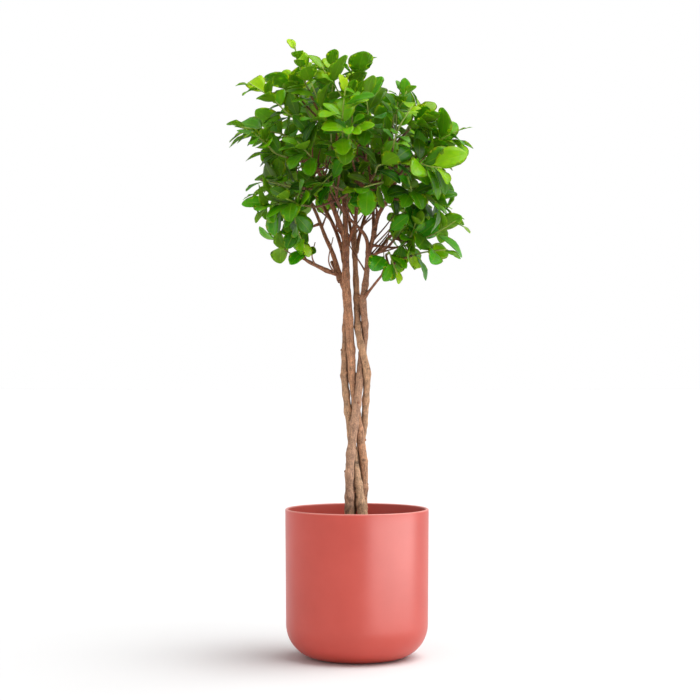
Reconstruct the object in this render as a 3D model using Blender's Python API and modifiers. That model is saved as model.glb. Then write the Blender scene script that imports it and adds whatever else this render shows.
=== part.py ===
"""Potted ficus: a coral pot, its soil, four braided stems with their limbs, and leafy shoots.

Metres, +Z up. The origin is the centre of the pot's underside and the front faces -Y.
Routes are written in millimetres, as (x, y, z).
"""

import math
import random

import bmesh
import bpy
import numpy as np
from mathutils import Matrix, Vector
from mathutils.bvhtree import BVHTree

MM = 0.001
REST_GAP = 0.0003

POT_RADIUS = 0.110
POT_HEIGHT = 0.228
POT_DRAFT = 0.0012
POT_CORNER = 0.052
POT_WALL = 0.0045
POT_FLOOR = 0.0060
POT_LIP = 0.0018
ROUND_STEPS = 32
CORNER_STEPS = 5
INNER_CORNER_STEPS = 2
LIP_STEPS = 1

SOIL_TOP = 0.197
SOIL_MOUND = 0.004
STEM_FOOT = 0.120
STEM_SIDES = 6
LEVEL_STEP = 0.022
TWIG_SIDES = 4
THICK_LIMB = 0.0033
HOLE_SIDES = 8
HOLE_RISE = 0.030

# How far apart the four strands are pushed, and how often they are pushed and smoothed.
STRAND_SPACING = 1.06
STRAND_GAP = 0.0007
SETTLE_STEPS = 160
SMOOTH_STEPS = 130
SMOOTH_SHARE = 0.15

TWIG_RADIUS = 0.0016
TWIG_BASE_RADIUS = 0.00184
SHOOT_RADIUS = 0.0013
SHOOT_TIP_RADIUS = 0.0010
FORK_REACH = 0.014
BEND_COST = 0.6
SHOOT_PEEK = 0.2
BALL_MARGIN = 0.012
ROUTE_SEED = 7000
ROUTE_TRIES = 24
PARENT_TRIES = 3
LOOSEST_WAY = 0.25
LOOSEST_TRY = 12
TWIG_BEND = 0.45
SHOOT_BEND = 0.30
SHOOT_SWAY = 0.05

LEAF_THICKNESS = 0.0008
CLEARANCE = 0.0006
LEAF_SEED = 10007
LEAF_TRIES = 16
LEAF_WIDTH = 0.58
LEAF_SCALE = 1.18
LARGE_LEAF = 0.068
END_LEAF = 0.62
FIRST_LEAF = 0.10
LAST_LEAF = 0.985
LEAF_REACH = 0.65
LEAN_LOW = math.radians(66)
LEAN_TURN = math.radians(26)
LEAN_END = math.radians(18)
# How far a leaf's azimuth may stray in radians, and how much further at each new try.
STRAY = 0.25
STRAY_STEP = 0.10
# How strongly a leaf turns away from the crown's middle, and how its face turns to the light.
PULL_OUT = 0.42
PULL_DOWN = 0.12
PULL_END = 1.1
FACE_UP = 0.80
FACE_OUT = 0.55
FACE_AHEAD = 0.30
FACE_STRAY = 0.22
FACE_STRAY_STEP = 0.05
LEAST_UP = 0.2
# The leaves in the middle of a shoot are the largest.
YOUNG_SHARE = 0.80
FULL_SHARE = 0.25
SIZE_RANGE = (0.88, 1.06)
SIZE_STEP = 0.015
BEND_RANGE = (0.25, 0.95)
FOLD_RANGE = (0.10, 0.38)
GOLDEN_ANGLE = math.radians(137.5)
GOLDEN_SHARE = 0.618034
# Distance along the blade, half width there and how much of the fold shows, as shares.
LARGE_OUTLINE = ((0.0, 0.0, 0.0), (0.32, 0.80, 0.4), (0.60, 1.0, 1.0), (0.88, 0.66, 0.4), (1.0, 0.0, 0.0))
SMALL_OUTLINE = ((0.0, 0.0, 0.0), (0.45, 1.0, 1.0), (0.84, 0.74, 0.4), (1.0, 0.0, 0.0))
STALK_SHARE = 0.14

CROWN_AXIS = Vector((-0.010, 0.0, 0.0))
CROWN_CENTRE_Z = 0.770

# Each stem from the crown down to the soil: x, y, z and radius in millimetres.
STEMS = {
    "stem_front_left": (
        (-15, -1, 548, 6.5), (-12, -1, 517, 6.3), (-9, -1, 486, 6.2), (-7, 0, 459, 6.2),
        (-6, 4, 431, 6.0), (-5, 7, 406, 6.0), (0, 7, 382, 6.0), (6, 2, 364, 6.2),
        (10, -3, 345, 6.4), (8, -2, 324, 6.4), (7, 3, 305, 6.2), (7, 8, 287, 6.2),
        (7, 8, 256, 6.5), (8, 8, 225, 7.2),
    ),
    "stem_back_left": (
        (-15, 12, 548, 5.4), (-11, 12, 517, 5.4), (-9, 11, 489, 5.4), (-12, 8, 468, 5.4),
        (-17, 3, 446, 5.5), (-18, 0, 417, 5.6), (-16, 4, 391, 5.6), (-13, 8, 366, 5.7),
        (-10, 8, 345, 5.7), (-5, 4, 324, 5.8), (-1, -2, 306, 6.0), (3, -6, 287, 6.2),
        (7, -6, 257, 6.6), (9, -6, 226, 8.0),
    ),
    "stem_right": (
        (9, -1, 548, 5.2), (11, 1, 517, 5.2), (13, 5, 489, 5.3), (12, 6, 465, 5.4),
        (7, 1, 440, 5.6), (3, -5, 413, 5.7), (0, -7, 387, 5.8), (-3, -7, 367, 6.2),
        (-6, -6, 346, 6.6), (-9, -6, 324, 6.6), (-11, -5, 303, 6.6), (-12, -5, 280, 6.5),
        (-11, -5, 254, 6.4), (-11, -5, 226, 8.0),
    ),
    "stem_back": (
        (0, 13, 548, 5.0), (1, 4, 520, 5.0), (6, -6, 492, 5.1), (11, -7, 471, 5.1),
        (13, -3, 446, 5.2), (15, 0, 417, 5.2), (15, 2, 388, 5.3), (14, 7, 366, 5.3),
        (10, 10, 345, 5.4), (5, 12, 323, 5.4), (0, 13, 302, 5.5), (-3, 12, 279, 5.6),
        (-7, 9, 253, 6.0), (-9, 8, 225, 7.2),
    ),
}

# The limbs that grow from each stem: a route in millimetres, then the first and last radius.
LIMBS = {
    "stem_front_left": (
        (((-15, -1, 548), (-17, -4, 578), (-17, -8, 609), (-18, -10, 636), (-27, -14, 663),
          (-38, -22, 693), (-52, -32, 729), (-70, -42, 758)), 6.5, 2.2),
        (((-17, -10, 630), (-18, -8, 667), (-21, -6, 707), (-28, -4, 754), (-32, 0, 805)), 4.4, 1.9),
        (((-17, -9, 627), (-6, -9, 656), (0, -16, 687), (4, -32, 719)), 2.8, 1.8),
        (((-18, -7, 606), (-32, 16, 653), (-53, 42, 698), (-75, 66, 741)), 3.4, 1.9),
    ),
    "stem_back_left": (
        (((-15, 12, 548), (-19, 11, 566), (-27, 10, 585), (-47, 0, 593), (-72, -12, 605),
          (-87, -18, 614)), 5.4, 2.0),
        (((-25, 10, 579), (-37, 12, 619), (-49, 8, 646), (-64, 2, 684), (-81, -4, 716)), 4.0, 1.9),
        (((-25, 12, 577), (-39, 36, 608), (-58, 64, 643), (-77, 90, 683)), 3.2, 1.9),
    ),
    "stem_right": (
        (((9, -1, 548), (12, -2, 566), (15, -2, 591), (18, -2, 618), (25, -6, 645),
          (32, -14, 675), (47, -26, 702), (62, -36, 732)), 5.2, 2.1),
        (((18, -3, 615), (15, -10, 639), (6, -18, 654), (-15, -30, 674), (-32, -46, 697)), 3.2, 1.9),
        (((26, -6, 645), (25, 2, 680), (23, 6, 717), (17, 8, 760)), 2.8, 1.8),
        (((18, -2, 612), (29, -8, 618), (43, -18, 625), (59, -30, 641)), 2.4, 1.7),
        (((11, -4, 551), (21, -14, 564), (33, -24, 579), (48, -36, 597)), 2.1, 1.7),
        (((17, 0, 603), (39, 28, 632), (61, 52, 661), (83, 70, 691)), 3.0, 1.9),
    ),
    "stem_back": (
        (((0, 13, 548), (-1, 14, 567), (-2, 17, 591), (-3, 20, 616), (-4, 22, 644),
          (-1, 24, 684), (2, 28, 731), (-1, 26, 783)), 5.0, 1.9),
        (((-3, 20, 613), (-9, 40, 654), (-17, 62, 700), (-25, 84, 745)), 3.0, 1.9),
        (((-2, 20, 622), (8, 44, 664), (21, 70, 706), (34, 96, 750)), 3.0, 1.9),
        (((-1, 17, 591), (16, 46, 624), (40, 76, 647), (62, 102, 668)), 2.6, 1.9),
    ),
}

# Shoots seen from the front: where the green wood begins and ends in millimetres, how many
# leaves it bears, the length of its largest leaf, and the turn of its first leaf in degrees.
FRONT_SHOOTS = (
    ((-46, -59, 757), (-77, -76, 892), 7, 46, 270),
    ((-80, -29, 817), (-158, -45, 871), 5, 43, 140),
    ((-96, -15, 790), (-170, -9, 811), 6, 51, 130),
    ((-107, -33, 763), (-153, -58, 795), 5, 38, 140),
    ((-67, -88, 756), (-84, -107, 774), 5, 43, 280),
    ((-90, -22, 720), (-150, -12, 711), 4, 44, 10),
    ((-109, -57, 693), (-133, -82, 685), 6, 51, 50),
    ((-83, -42, 709), (-98, -67, 685), 4, 29, 260),
    ((-107, 10, 664), (-94, -15, 678), 5, 26, 100),
    ((-81, -19, 617), (-76, -45, 622), 3, 36, 200),
    ((-79, -90, 686), (-100, -115, 692), 5, 45, 30),
    ((-93, -53, 691), (-81, -74, 630), 5, 34, 50),
    ((-24, -101, 761), (-18, -156, 845), 6, 44, 110),
    ((-37, -24, 842), (-38, -25, 901), 6, 43, 270),
    ((-15, -2, 847), (4, -7, 901), 5, 51, 160),
    ((-9, -40, 803), (-49, -78, 888), 5, 51, 230),
    ((15, -68, 797), (13, -86, 847), 5, 51, 120),
    ((59, -29, 784), (65, -51, 861), 5, 26, 250),
    ((79, -32, 805), (102, -32, 815), 6, 36, 220),
    ((96, -8, 770), (145, -25, 800), 6, 51, 15),
    ((83, -63, 748), (119, -94, 742), 5, 51, 350),
    ((79, -37, 710), (124, -40, 693), 5, 48, 60),
    ((53, -108, 770), (76, -137, 821), 5, 26, 130),
    ((27, -83, 735), (62, -74, 751), 5, 43, 340),
    ((-9, -34, 760), (-46, -66, 727), 5, 47, 20),
    ((72, -37, 701), (80, -82, 713), 5, 38, 40),
    ((36, -54, 724), (1, -91, 710), 4, 42, 70),
    ((94, 12, 666), (141, 24, 679), 5, 40, 350),
    ((80, -28, 639), (142, -66, 661), 5, 51, 20),
    ((65, -32, 637), (79, -41, 616), 4, 51, 100),
    ((46, -44, 616), (58, -69, 590), 4, 30, 110),
    ((77, -42, 640), (87, -64, 660), 6, 35, 10),
    ((74, -16, 680), (65, 8, 677), 3, 39, 20),
    ((-11, -105, 770), (-15, -169, 793), 5, 41, 240),
    ((-37, -104, 714), (-61, -94, 719), 5, 33, 280),
    ((-84, 5, 853), (-102, 12, 875), 5, 51, 150),
    ((54, -30, 810), (72, -59, 855), 5, 36, 340),
    ((-138, -36, 727), (-104, -40, 719), 4, 41, 330),
    ((-73, -58, 862), (-92, -85, 918), 3, 33, 180),
    ((83, -44, 613), (129, -66, 621), 4, 41, 220),
)

BACK_SHOOTS = 14
BACK_REACH = Vector((0.128, 0.150, 0.118))
BACK_SPREAD = math.radians(190)
BACK_PHASE = 0.91
BACK_LOW = -0.45
BACK_HIGH = 0.84
BACK_START = 0.68
BACK_DROP = 0.012
BACK_TURN = 50
LEAST_FLAT = 0.05
BACK_LEAVES = 5
BACK_LEAF = 56


def clear_scene():
    for item in list(bpy.data.objects):
        bpy.data.objects.remove(item)


def linear(channel):
    return channel / 12.92 if channel <= 0.04045 else ((channel + 0.055) / 1.055) ** 2.4


def material(name, colour, roughness):
    """A plain surface, its colour written as an sRGB hex."""
    made = bpy.data.materials.new(name)
    made.use_nodes = True
    shader = made.node_tree.nodes["Principled BSDF"]
    channels = [linear(int(colour[i : i + 2], 16) / 255) for i in (0, 2, 4)]
    shader.inputs["Base Color"].default_value = (*channels, 1.0)
    shader.inputs["Roughness"].default_value = roughness
    shader.inputs["Metallic"].default_value = 0.0
    made.diffuse_color = (*channels, 1.0)
    return made


def new_collection(name, parent=None):
    made = bpy.data.collections.new(name)
    (parent or bpy.context.scene.collection).children.link(made)
    return made


def add_object(name, mesh, home):
    made = bpy.data.objects.new(name, mesh)
    home.objects.link(made)
    return made


def baked_mesh(item):
    """The object's mesh with its modifiers or bevel worked in."""
    graph = bpy.context.evaluated_depsgraph_get()
    return bpy.data.meshes.new_from_object(item.evaluated_get(graph))


def spline(points, spans):
    """A smooth route through the points, with this many straight spans between each two."""
    points = np.array(points, float)
    ends = np.vstack([2 * points[0] - points[1], points, 2 * points[-1] - points[-2]])
    route = []
    for i in range(len(points) - 1):
        a, b, c, d = ends[i : i + 4]
        for t in np.arange(spans) / spans:
            route.append(0.5 * (2 * b + (c - a) * t + (2 * a - 5 * b + 4 * c - d) * t**2
                                + (3 * b - a - 3 * c + d) * t**3))
    return np.array(route + [points[-1]])


def tube(name, route, sides, home):
    """A round bar along a route of (x, y, z, radius), closed at both ends."""
    curve = bpy.data.curves.new(name, "CURVE")
    curve.dimensions = "3D"
    curve.bevel_depth = 1.0
    curve.bevel_resolution = (sides - 4) // 2
    curve.use_fill_caps = True
    line = curve.splines.new("POLY")
    line.points.add(len(route) - 1)
    for point, (x, y, z, radius) in zip(line.points, route):
        point.co = (x, y, z, 1.0)
        point.radius = radius
    guide = add_object(name + "_guide", curve, home)
    mesh = baked_mesh(guide)
    bpy.data.objects.remove(guide)
    shape = bmesh.new()
    shape.from_mesh(mesh)
    bmesh.ops.remove_doubles(shape, verts=shape.verts, dist=1e-6)
    bmesh.ops.recalc_face_normals(shape, faces=shape.faces)
    shape.to_mesh(mesh)
    shape.free()
    return add_object(name, mesh, home)


def join(name, pieces, surface):
    """One grown body from pieces that run into each other."""
    base = pieces[0]
    if len(pieces) > 1:
        others = new_collection(name + "_pieces")
        for piece in pieces[1:]:
            others.objects.link(piece)
        union = base.modifiers.new("join", "BOOLEAN")
        union.operation = "UNION"
        union.operand_type = "COLLECTION"
        union.collection = others
        union.solver = "MANIFOLD"
        mesh = baked_mesh(base)
        base.modifiers.clear()
        for piece in pieces[1:]:
            bpy.data.objects.remove(piece)
        bpy.data.collections.remove(others)
        base.data = mesh
    base.name = name
    base.data.name = name
    base.data.materials.clear()
    base.data.materials.append(surface)
    return base


def arc(centre, radius, first, last, steps):
    """Points on a quarter of a circle in the X-Z plane, angles in degrees."""
    angles = np.radians(np.linspace(first, last, steps + 1))
    return [(centre[0] + radius * math.cos(a), centre[1] + radius * math.sin(a)) for a in angles]


def turned(name, profile, home, surface):
    """A profile of (radius, height) turned about Z with a Screw."""
    mesh = bpy.data.meshes.new(name)
    mesh.from_pydata([(r, 0, z) for r, z in profile], [(i, i + 1) for i in range(len(profile) - 1)], [])
    item = add_object(name, mesh, home)
    screw = item.modifiers.new("turn", "SCREW")
    screw.axis = "Z"
    screw.steps = screw.render_steps = ROUND_STEPS
    screw.use_merge_vertices = True
    screw.merge_threshold = 1e-5
    item.data = baked_mesh(item)
    item.modifiers.clear()
    item.data.name = name
    item.data.materials.append(surface)
    return item


def shade_round(item):
    item.data.shade_smooth()
    item.data.set_sharp_from_angle(angle=math.radians(40))


def pot_inside(inset):
    """The pot's inner outline from the lip down to the floor, moved in by the inset."""
    wall = POT_WALL + inset
    corner = POT_CORNER - wall
    low = POT_RADIUS - POT_DRAFT - wall
    centre = (low - corner, POT_FLOOR + inset + corner)
    return arc(centre, corner, 0, -90, INNER_CORNER_STEPS)


def build_pot(home, surface):
    low = POT_RADIUS - POT_DRAFT
    lip = (POT_RADIUS - POT_LIP, POT_HEIGHT - POT_LIP)
    inner_lip = (POT_RADIUS - POT_WALL + POT_LIP, POT_HEIGHT - POT_LIP)
    profile = [(0, POT_FLOOR)]
    profile += pot_inside(0)[::-1]
    profile += arc(inner_lip, POT_LIP, 180, 90, LIP_STEPS)
    profile += arc(lip, POT_LIP, 90, 0, LIP_STEPS)
    profile += arc((low - POT_CORNER, POT_CORNER), POT_CORNER, 0, -90, CORNER_STEPS)
    profile += [(0, 0)]
    pot = turned("pot", profile, home, surface)
    shade_round(pot)
    return pot


def inner_radius(height):
    """The pot's inner radius on its straight wall."""
    low = POT_RADIUS - POT_DRAFT - POT_WALL
    share = (height - POT_CORNER) / (POT_HEIGHT - POT_CORNER)
    return low + POT_DRAFT * share


def build_soil(home, cutters, surface, feet):
    """The soil fills the pot and has a plain hole for each stem."""
    edge = inner_radius(SOIL_TOP) - REST_GAP
    profile = [(0, POT_FLOOR + REST_GAP)]
    profile += pot_inside(REST_GAP)[::-1]
    profile += [(edge, SOIL_TOP), (0, SOIL_TOP + SOIL_MOUND)]
    soil = turned("soil", profile, home, surface)
    for x, y, radius in feet:
        mesh = bpy.data.meshes.new("hole")
        shape = bmesh.new()
        top = SOIL_TOP + HOLE_RISE
        bottom = STEM_FOOT - REST_GAP
        reach = (radius + REST_GAP) / math.cos(math.pi / HOLE_SIDES)
        bmesh.ops.create_cone(
            shape, cap_ends=True, segments=HOLE_SIDES, radius1=reach, radius2=reach, depth=top - bottom,
            matrix=Matrix.Translation((x, y, (top + bottom) / 2)),
        )
        shape.to_mesh(mesh)
        shape.free()
        hole = add_object("hole", mesh, cutters)
        hole.hide_render = True
        hole.display_type = "WIRE"
    cut = soil.modifiers.new("holes", "BOOLEAN")
    cut.operation = "DIFFERENCE"
    cut.operand_type = "COLLECTION"
    cut.collection = cutters
    cut.solver = "EXACT"
    shade_round(soil)
    return soil


def settled_stems():
    """The four routes on shared levels, pushed apart until they only lean on each other."""
    top = max(rows[0][2] for rows in STEMS.values()) * MM
    levels = np.append(np.arange(SOIL_TOP + 0.02, top - LEVEL_STEP / 2, LEVEL_STEP), top)
    routes = []
    for rows in STEMS.values():
        fine = spline(np.array(rows) * MM, 6)[::-1]
        routes.append(np.column_stack([np.interp(levels, fine[:, 2], fine[:, k]) for k in (0, 1, 3)]))
    routes = np.array(routes)
    for step in range(SETTLE_STEPS):
        for i in range(len(routes)):
            for j in range(i):
                apart = routes[i, :, :2] - routes[j, :, :2]
                distance = np.linalg.norm(apart, axis=1)
                need = (routes[i, :, 2] + routes[j, :, 2]) * STRAND_SPACING + STRAND_GAP
                push = np.maximum(need - distance, 0) / 2
                move = apart / distance[:, None] * push[:, None]
                routes[i, :, :2] += move
                routes[j, :, :2] -= move
        if step < SMOOTH_STEPS:
            middle = (routes[:, :-2, :2] + routes[:, 2:, :2]) / 2
            routes[:, 1:-1, :2] += SMOOTH_SHARE * (middle - routes[:, 1:-1, :2])
    return levels, routes


def stem_routes():
    """Each stem's route from its foot in the soil up to the crown, as (x, y, z, radius)."""
    levels, routes = settled_stems()
    found = {}
    for name, route in zip(STEMS, routes):
        x, y, radius = route[0]
        foot = [(x, y, STEM_FOOT, radius), (x, y, SOIL_TOP + SOIL_MOUND + 0.002, radius)]
        rise = [(*route[k, :2], levels[k], route[k, 2]) for k in range(1, len(levels))]
        found[name] = np.array(foot + rise)
    return found


def limb_routes(name, top):
    """The routes of a stem's limbs, the first of which carries the stem itself on."""
    found = []
    for number, (rows, first, last) in enumerate(LIMBS[name]):
        radii = np.linspace(first, last, len(rows))
        rows = np.column_stack([np.array(rows, float), radii]) * MM
        if number == 0:
            rows[0] = top
        found.append(rows)
    return found


def back_shoots():
    """Shoots spread over the back of the crown by the golden angle."""
    found = []
    for k in range(BACK_SHOOTS):
        turn = math.pi / 2 + BACK_SPREAD * ((BACK_PHASE + k * GOLDEN_SHARE) % 1.0 - 0.5)
        lift = BACK_LOW + (BACK_HIGH - BACK_LOW) * (k + 0.5) / BACK_SHOOTS
        flat = math.sqrt(max(1 - lift * lift, LEAST_FLAT))
        way = Vector((flat * math.cos(turn), flat * math.sin(turn), lift))
        tip = Vector(way * scale for way, scale in zip(way, BACK_REACH))
        centre = CROWN_AXIS + Vector((0, 0, CROWN_CENTRE_Z))
        start = centre + tip * BACK_START - Vector((0, 0, BACK_DROP))
        found.append((start, centre + tip, BACK_LEAVES, BACK_LEAF, BACK_TURN * k))
    return found


def front_shoots():
    return [(Vector(a) * MM, Vector(b) * MM, *rest) for a, b, *rest in FRONT_SHOOTS]


def point_on(route, where):
    """The point at a whole or part step along a route."""
    k = min(int(where), len(route) - 2)
    return route[k] + (route[k + 1] - route[k]) * (where - k)


def parents_of(limbs, start, way):
    """Where on the limbs a twig to this start could grow from, the best on each limb, nearest first."""
    found = []
    for name, routes in limbs.items():
        for number, route in enumerate(routes):
            options = []
            for where in np.arange(1.5 if number == 0 else 0.5, len(route) - 0.9, 0.5):
                point = Vector(point_on(route, where)[:3])
                along = (point - Vector(point_on(route, where - 0.5)[:3])).normalized()
                reach = start - point
                bend = 1.0 - reach.normalized().dot((along + way).normalized())
                options.append((reach.length * (1.0 + BEND_COST * bend), name, number, where, point))
            found.append(min(options, key=lambda option: option[0]))
    found.sort(key=lambda option: option[0])
    return [option[1:] for option in found]


def trimmed_limbs(limbs, grown):
    """Each limb cut off where its last twig or side limb grows, and dropped if it bears neither."""
    kept = {}
    for name, routes in limbs.items():
        kept[name] = []
        for number, route in enumerate(routes):
            marks = [row[8] for row in grown if row[1] == name and row[7] == number]
            for other in routes:
                gaps = np.linalg.norm(route[:, :3] - other[0, :3], axis=1)
                if other is not route and gaps.min() < FORK_REACH:
                    marks.append(min(gaps.argmin() + 1, len(route) - 1))
            if marks:
                end = max(marks)
                kept[name].append(np.vstack([route[: int(np.ceil(end))], point_on(route, end)]))
    return kept


def shoot_route(number, attempt, root, start, tip):
    """A woody twig and the green shoot beyond it, which meet square on one straight line."""
    rng = random.Random(ROUTE_SEED + 100 * number + attempt)
    loose = LOOSEST_WAY * min(attempt / LOOSEST_TRY, 1.0)
    reach, length = (start - root).length, (tip - start).length
    way = (start - root).normalized() + (tip - start).normalized()
    way += Vector([rng.uniform(-loose, loose) for _ in range(3)])
    way.normalize()
    middle = start - way * TWIG_BEND * reach
    first = start + way * SHOOT_BEND * length
    sway = rng.uniform(-SHOOT_SWAY, SHOOT_SWAY) * length
    second = first.lerp(tip, 0.5) + (tip - first).orthogonal().normalized() * sway
    twig = np.array([root, middle, start])
    shoot = np.array([start + way * REST_GAP, first, second, tip])
    return twig, shoot


def with_radius(points, first, last):
    return np.column_stack([points, np.linspace(first, last, len(points))])


def blade(length, thickness, grow, start, bend, fold, outline):
    """A leaf blade as a closed bmesh: root at the origin, length along +Y, upper face towards +Z."""
    rows = len(outline) - 1
    shape = bmesh.new()
    bmesh.ops.create_grid(shape, x_segments=1, y_segments=rows, size=1)
    half = LEAF_WIDTH * length / 2
    shown = {}
    for vert in shape.verts:
        along, width, shows = outline[round((vert.co.y + 1) / 2 * rows)]
        along = max(along, start)
        vert.co = (round(vert.co.x) * (width * half + grow * (width > 0)), along * (length + grow), 0)
        shown[round(vert.co.y, 7)] = shows
    bmesh.ops.remove_doubles(shape, verts=shape.verts, dist=1e-7)
    widest = max((e for e in shape.edges if abs(e.verts[0].co.y - e.verts[1].co.y) < 1e-7),
                 key=lambda e: e.calc_length())
    bmesh.ops.subdivide_edges(shape, edges=[widest], cuts=1)
    bmesh.ops.triangulate(shape, faces=shape.faces)
    for vert in shape.verts:
        across, way = vert.co.x, vert.co.y
        turn = max(bend * way / (length + grow), 1e-6)
        ahead = way * math.sin(turn) / turn
        drop = way * (1 - math.cos(turn)) / turn
        rise = abs(across) * math.sin(fold) * shown[round(way, 7)]
        vert.co = (across * math.cos(fold), ahead + rise * math.sin(turn), rise * math.cos(turn) - drop)
    shape.normal_update()
    for vert in shape.verts:
        vert.co -= vert.normal * thickness / 2
    bmesh.ops.solidify(shape, geom=shape.faces[:], thickness=-thickness)
    bmesh.ops.recalc_face_normals(shape, faces=shape.faces)
    return shape


def leaf_places(shoot, count, turn):
    """Where each leaf of a shoot is rooted: point, shoot direction, share along the shoot and azimuth."""
    points = [Vector(p) for p in shoot]
    steps = [(b - a).length for a, b in zip(points, points[1:])]
    total = sum(steps)
    found = []
    for k in range(count):
        share = FIRST_LEAF + (1.0 - FIRST_LEAF) * k / (count - 1)
        left = share * total * LAST_LEAF
        for a, b, step in zip(points, points[1:], steps):
            if left <= step:
                break
            left -= step
        point = a.lerp(b, min(left / step, 1.0))
        found.append((point, (b - a).normalized(), share, math.radians(turn) + k * GOLDEN_ANGLE))
    return found


def leaf_pose(number, index, attempt, place, count, size):
    """One way of setting a leaf: its matrix, length, bend and fold. Later attempts stray further."""
    rng = random.Random(LEAF_SEED * number + 101 * index + attempt)
    point, way, share, azimuth = place
    stray = STRAY + STRAY_STEP * attempt
    azimuth += rng.uniform(-1, 1) * stray
    last = index == count - 1
    lean = (LEAN_END if last else LEAN_LOW - LEAN_TURN * share) + rng.uniform(-0.5, 0.5) * stray
    side = way.orthogonal().normalized()
    radial = Matrix.Rotation(azimuth, 3, way) @ side
    outward = point - CROWN_AXIS - Vector((0, 0, CROWN_CENTRE_Z))
    outward.z *= 0.5
    outward.normalize()
    ahead = way * math.cos(lean) + radial * math.sin(lean)
    ahead += (outward * PULL_OUT - Vector((0, 0, PULL_DOWN))) * (PULL_END - share)
    ahead.normalize()
    up = Vector((0, 0, FACE_UP)) + outward * FACE_OUT + way * FACE_AHEAD
    up += Vector([rng.uniform(-1, 1) for _ in range(3)]) * (FACE_STRAY + FACE_STRAY_STEP * attempt)
    up = up - ahead * up.dot(ahead)
    if up.length < LEAST_UP:
        up = side - ahead * side.dot(ahead)
    up.normalize()
    across = ahead.cross(up)
    frame = Matrix((across, ahead, up)).transposed().to_4x4()
    frame.translation = point
    young = END_LEAF if last else min(1.0, YOUNG_SHARE + FULL_SHARE * math.sin(math.pi * share))
    length = size * MM * LEAF_SCALE * young * rng.uniform(*SIZE_RANGE) * (1 - SIZE_STEP * attempt)
    bend = rng.uniform(*BEND_RANGE)
    fold = rng.uniform(*FOLD_RANGE)
    return frame, length, bend, fold


def posed_blade(pose, thickness, grow=0.0, start=0.0):
    frame, length, bend, fold = pose
    outline = LARGE_OUTLINE if length > LARGE_LEAF else SMALL_OUTLINE
    shape = blade(length, thickness, grow, start, bend, fold, outline)
    shape.transform(frame)
    return shape


def leaf_tree(pose, clearance, start):
    """A test tree of the leaf, grown by the clearance and starting this far along it."""
    shape = posed_blade(pose, LEAF_THICKNESS + 2 * clearance, clearance, start)
    tree = BVHTree.FromBMesh(shape)
    shape.free()
    return tree


class Placed:
    """What already stands in the crown, kept as trees that a new piece is tested against."""

    def __init__(self):
        self.items = []

    def add(self, tree, centre, reach, owner, part=None):
        """The part is what counts for the owner's own leaves: a leaf without its stalk."""
        self.items.append((tree, part or tree, centre, reach, owner))

    def clear(self, tree, centre, reach, owner, part=None):
        """Whether the tree misses every other owner's pieces, and its part the owner's own."""
        for whole, own_part, other, other_reach, name in self.items:
            if (other - centre).length > reach + other_reach:
                continue
            if name != owner and whole.overlap(tree):
                return False
            if name == owner and part and own_part.overlap(part):
                return False
        return True


def tube_tree(route, sides=6, grow=0.0):
    """A test tube round a route of (x, y, z, radius), made of plain rings."""
    verts = []
    for k, row in enumerate(route):
        point = Vector(row[:3])
        way = Vector(route[min(k + 1, len(route) - 1)][:3]) - Vector(route[max(k - 1, 0)][:3])
        side = way.orthogonal().normalized()
        other = way.normalized().cross(side)
        for s in range(sides):
            angle = 2 * math.pi * s / sides
            verts.append(point + (side * math.cos(angle) + other * math.sin(angle)) * (row[3] * 1.1 + grow))
    faces = []
    for k in range(len(route) - 1):
        for s in range(sides):
            t = (s + 1) % sides
            faces.append((k * sides + s, k * sides + t, (k + 1) * sides + t, (k + 1) * sides + s))
    faces += [tuple(range(sides)), tuple(range(len(verts) - sides, len(verts)))]
    return BVHTree.FromPolygons(verts, faces)


def ball_round(points):
    """A centre and reach that hold all the points."""
    points = [Vector(p[:3]) for p in points]
    centre = sum(points, Vector()) / len(points)
    return centre, max((p - centre).length for p in points) + BALL_MARGIN


def add_to_placed(placed, route, owner):
    centre, reach = ball_round(route)
    placed.add(tube_tree(route), centre, reach, owner)


def place_shoots(placed, limbs, shoots):
    """Twigs and green shoots, each on the first route that is clear of everything else."""
    found = []
    for number, (start, tip, count, size, turn) in enumerate(shoots):
        parents = parents_of(limbs, start, (tip - start).normalized())[:PARENT_TRIES]
        for attempt in range(ROUTE_TRIES):
            stem, limb, where, root = parents[attempt % PARENT_TRIES]
            twig, shoot = shoot_route(number, attempt, root, start, tip)
            twig = with_radius(twig, TWIG_BASE_RADIUS, TWIG_RADIUS)
            shoot = with_radius(shoot, SHOOT_RADIUS, SHOOT_TIP_RADIUS)
            owner = "shoot_%02d" % number
            beyond = shoot.copy()
            beyond[0, :3] += (shoot[1, :3] - shoot[0, :3]) * SHOOT_PEEK
            twig_tree = tube_tree(twig, grow=CLEARANCE)
            shoot_tree = tube_tree(beyond, grow=CLEARANCE)
            clear = placed.clear(twig_tree, *ball_round(twig), stem)
            clear = clear and placed.clear(shoot_tree, *ball_round(shoot), owner)
            clear = clear and not twig_tree.overlap(shoot_tree)
            if clear:
                add_to_placed(placed, twig, stem)
                add_to_placed(placed, shoot, owner)
                found.append((number, stem, twig, shoot, count, size, turn, limb, where))
                break
        else:
            print("no clear route for shoot", number)
    return found


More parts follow.
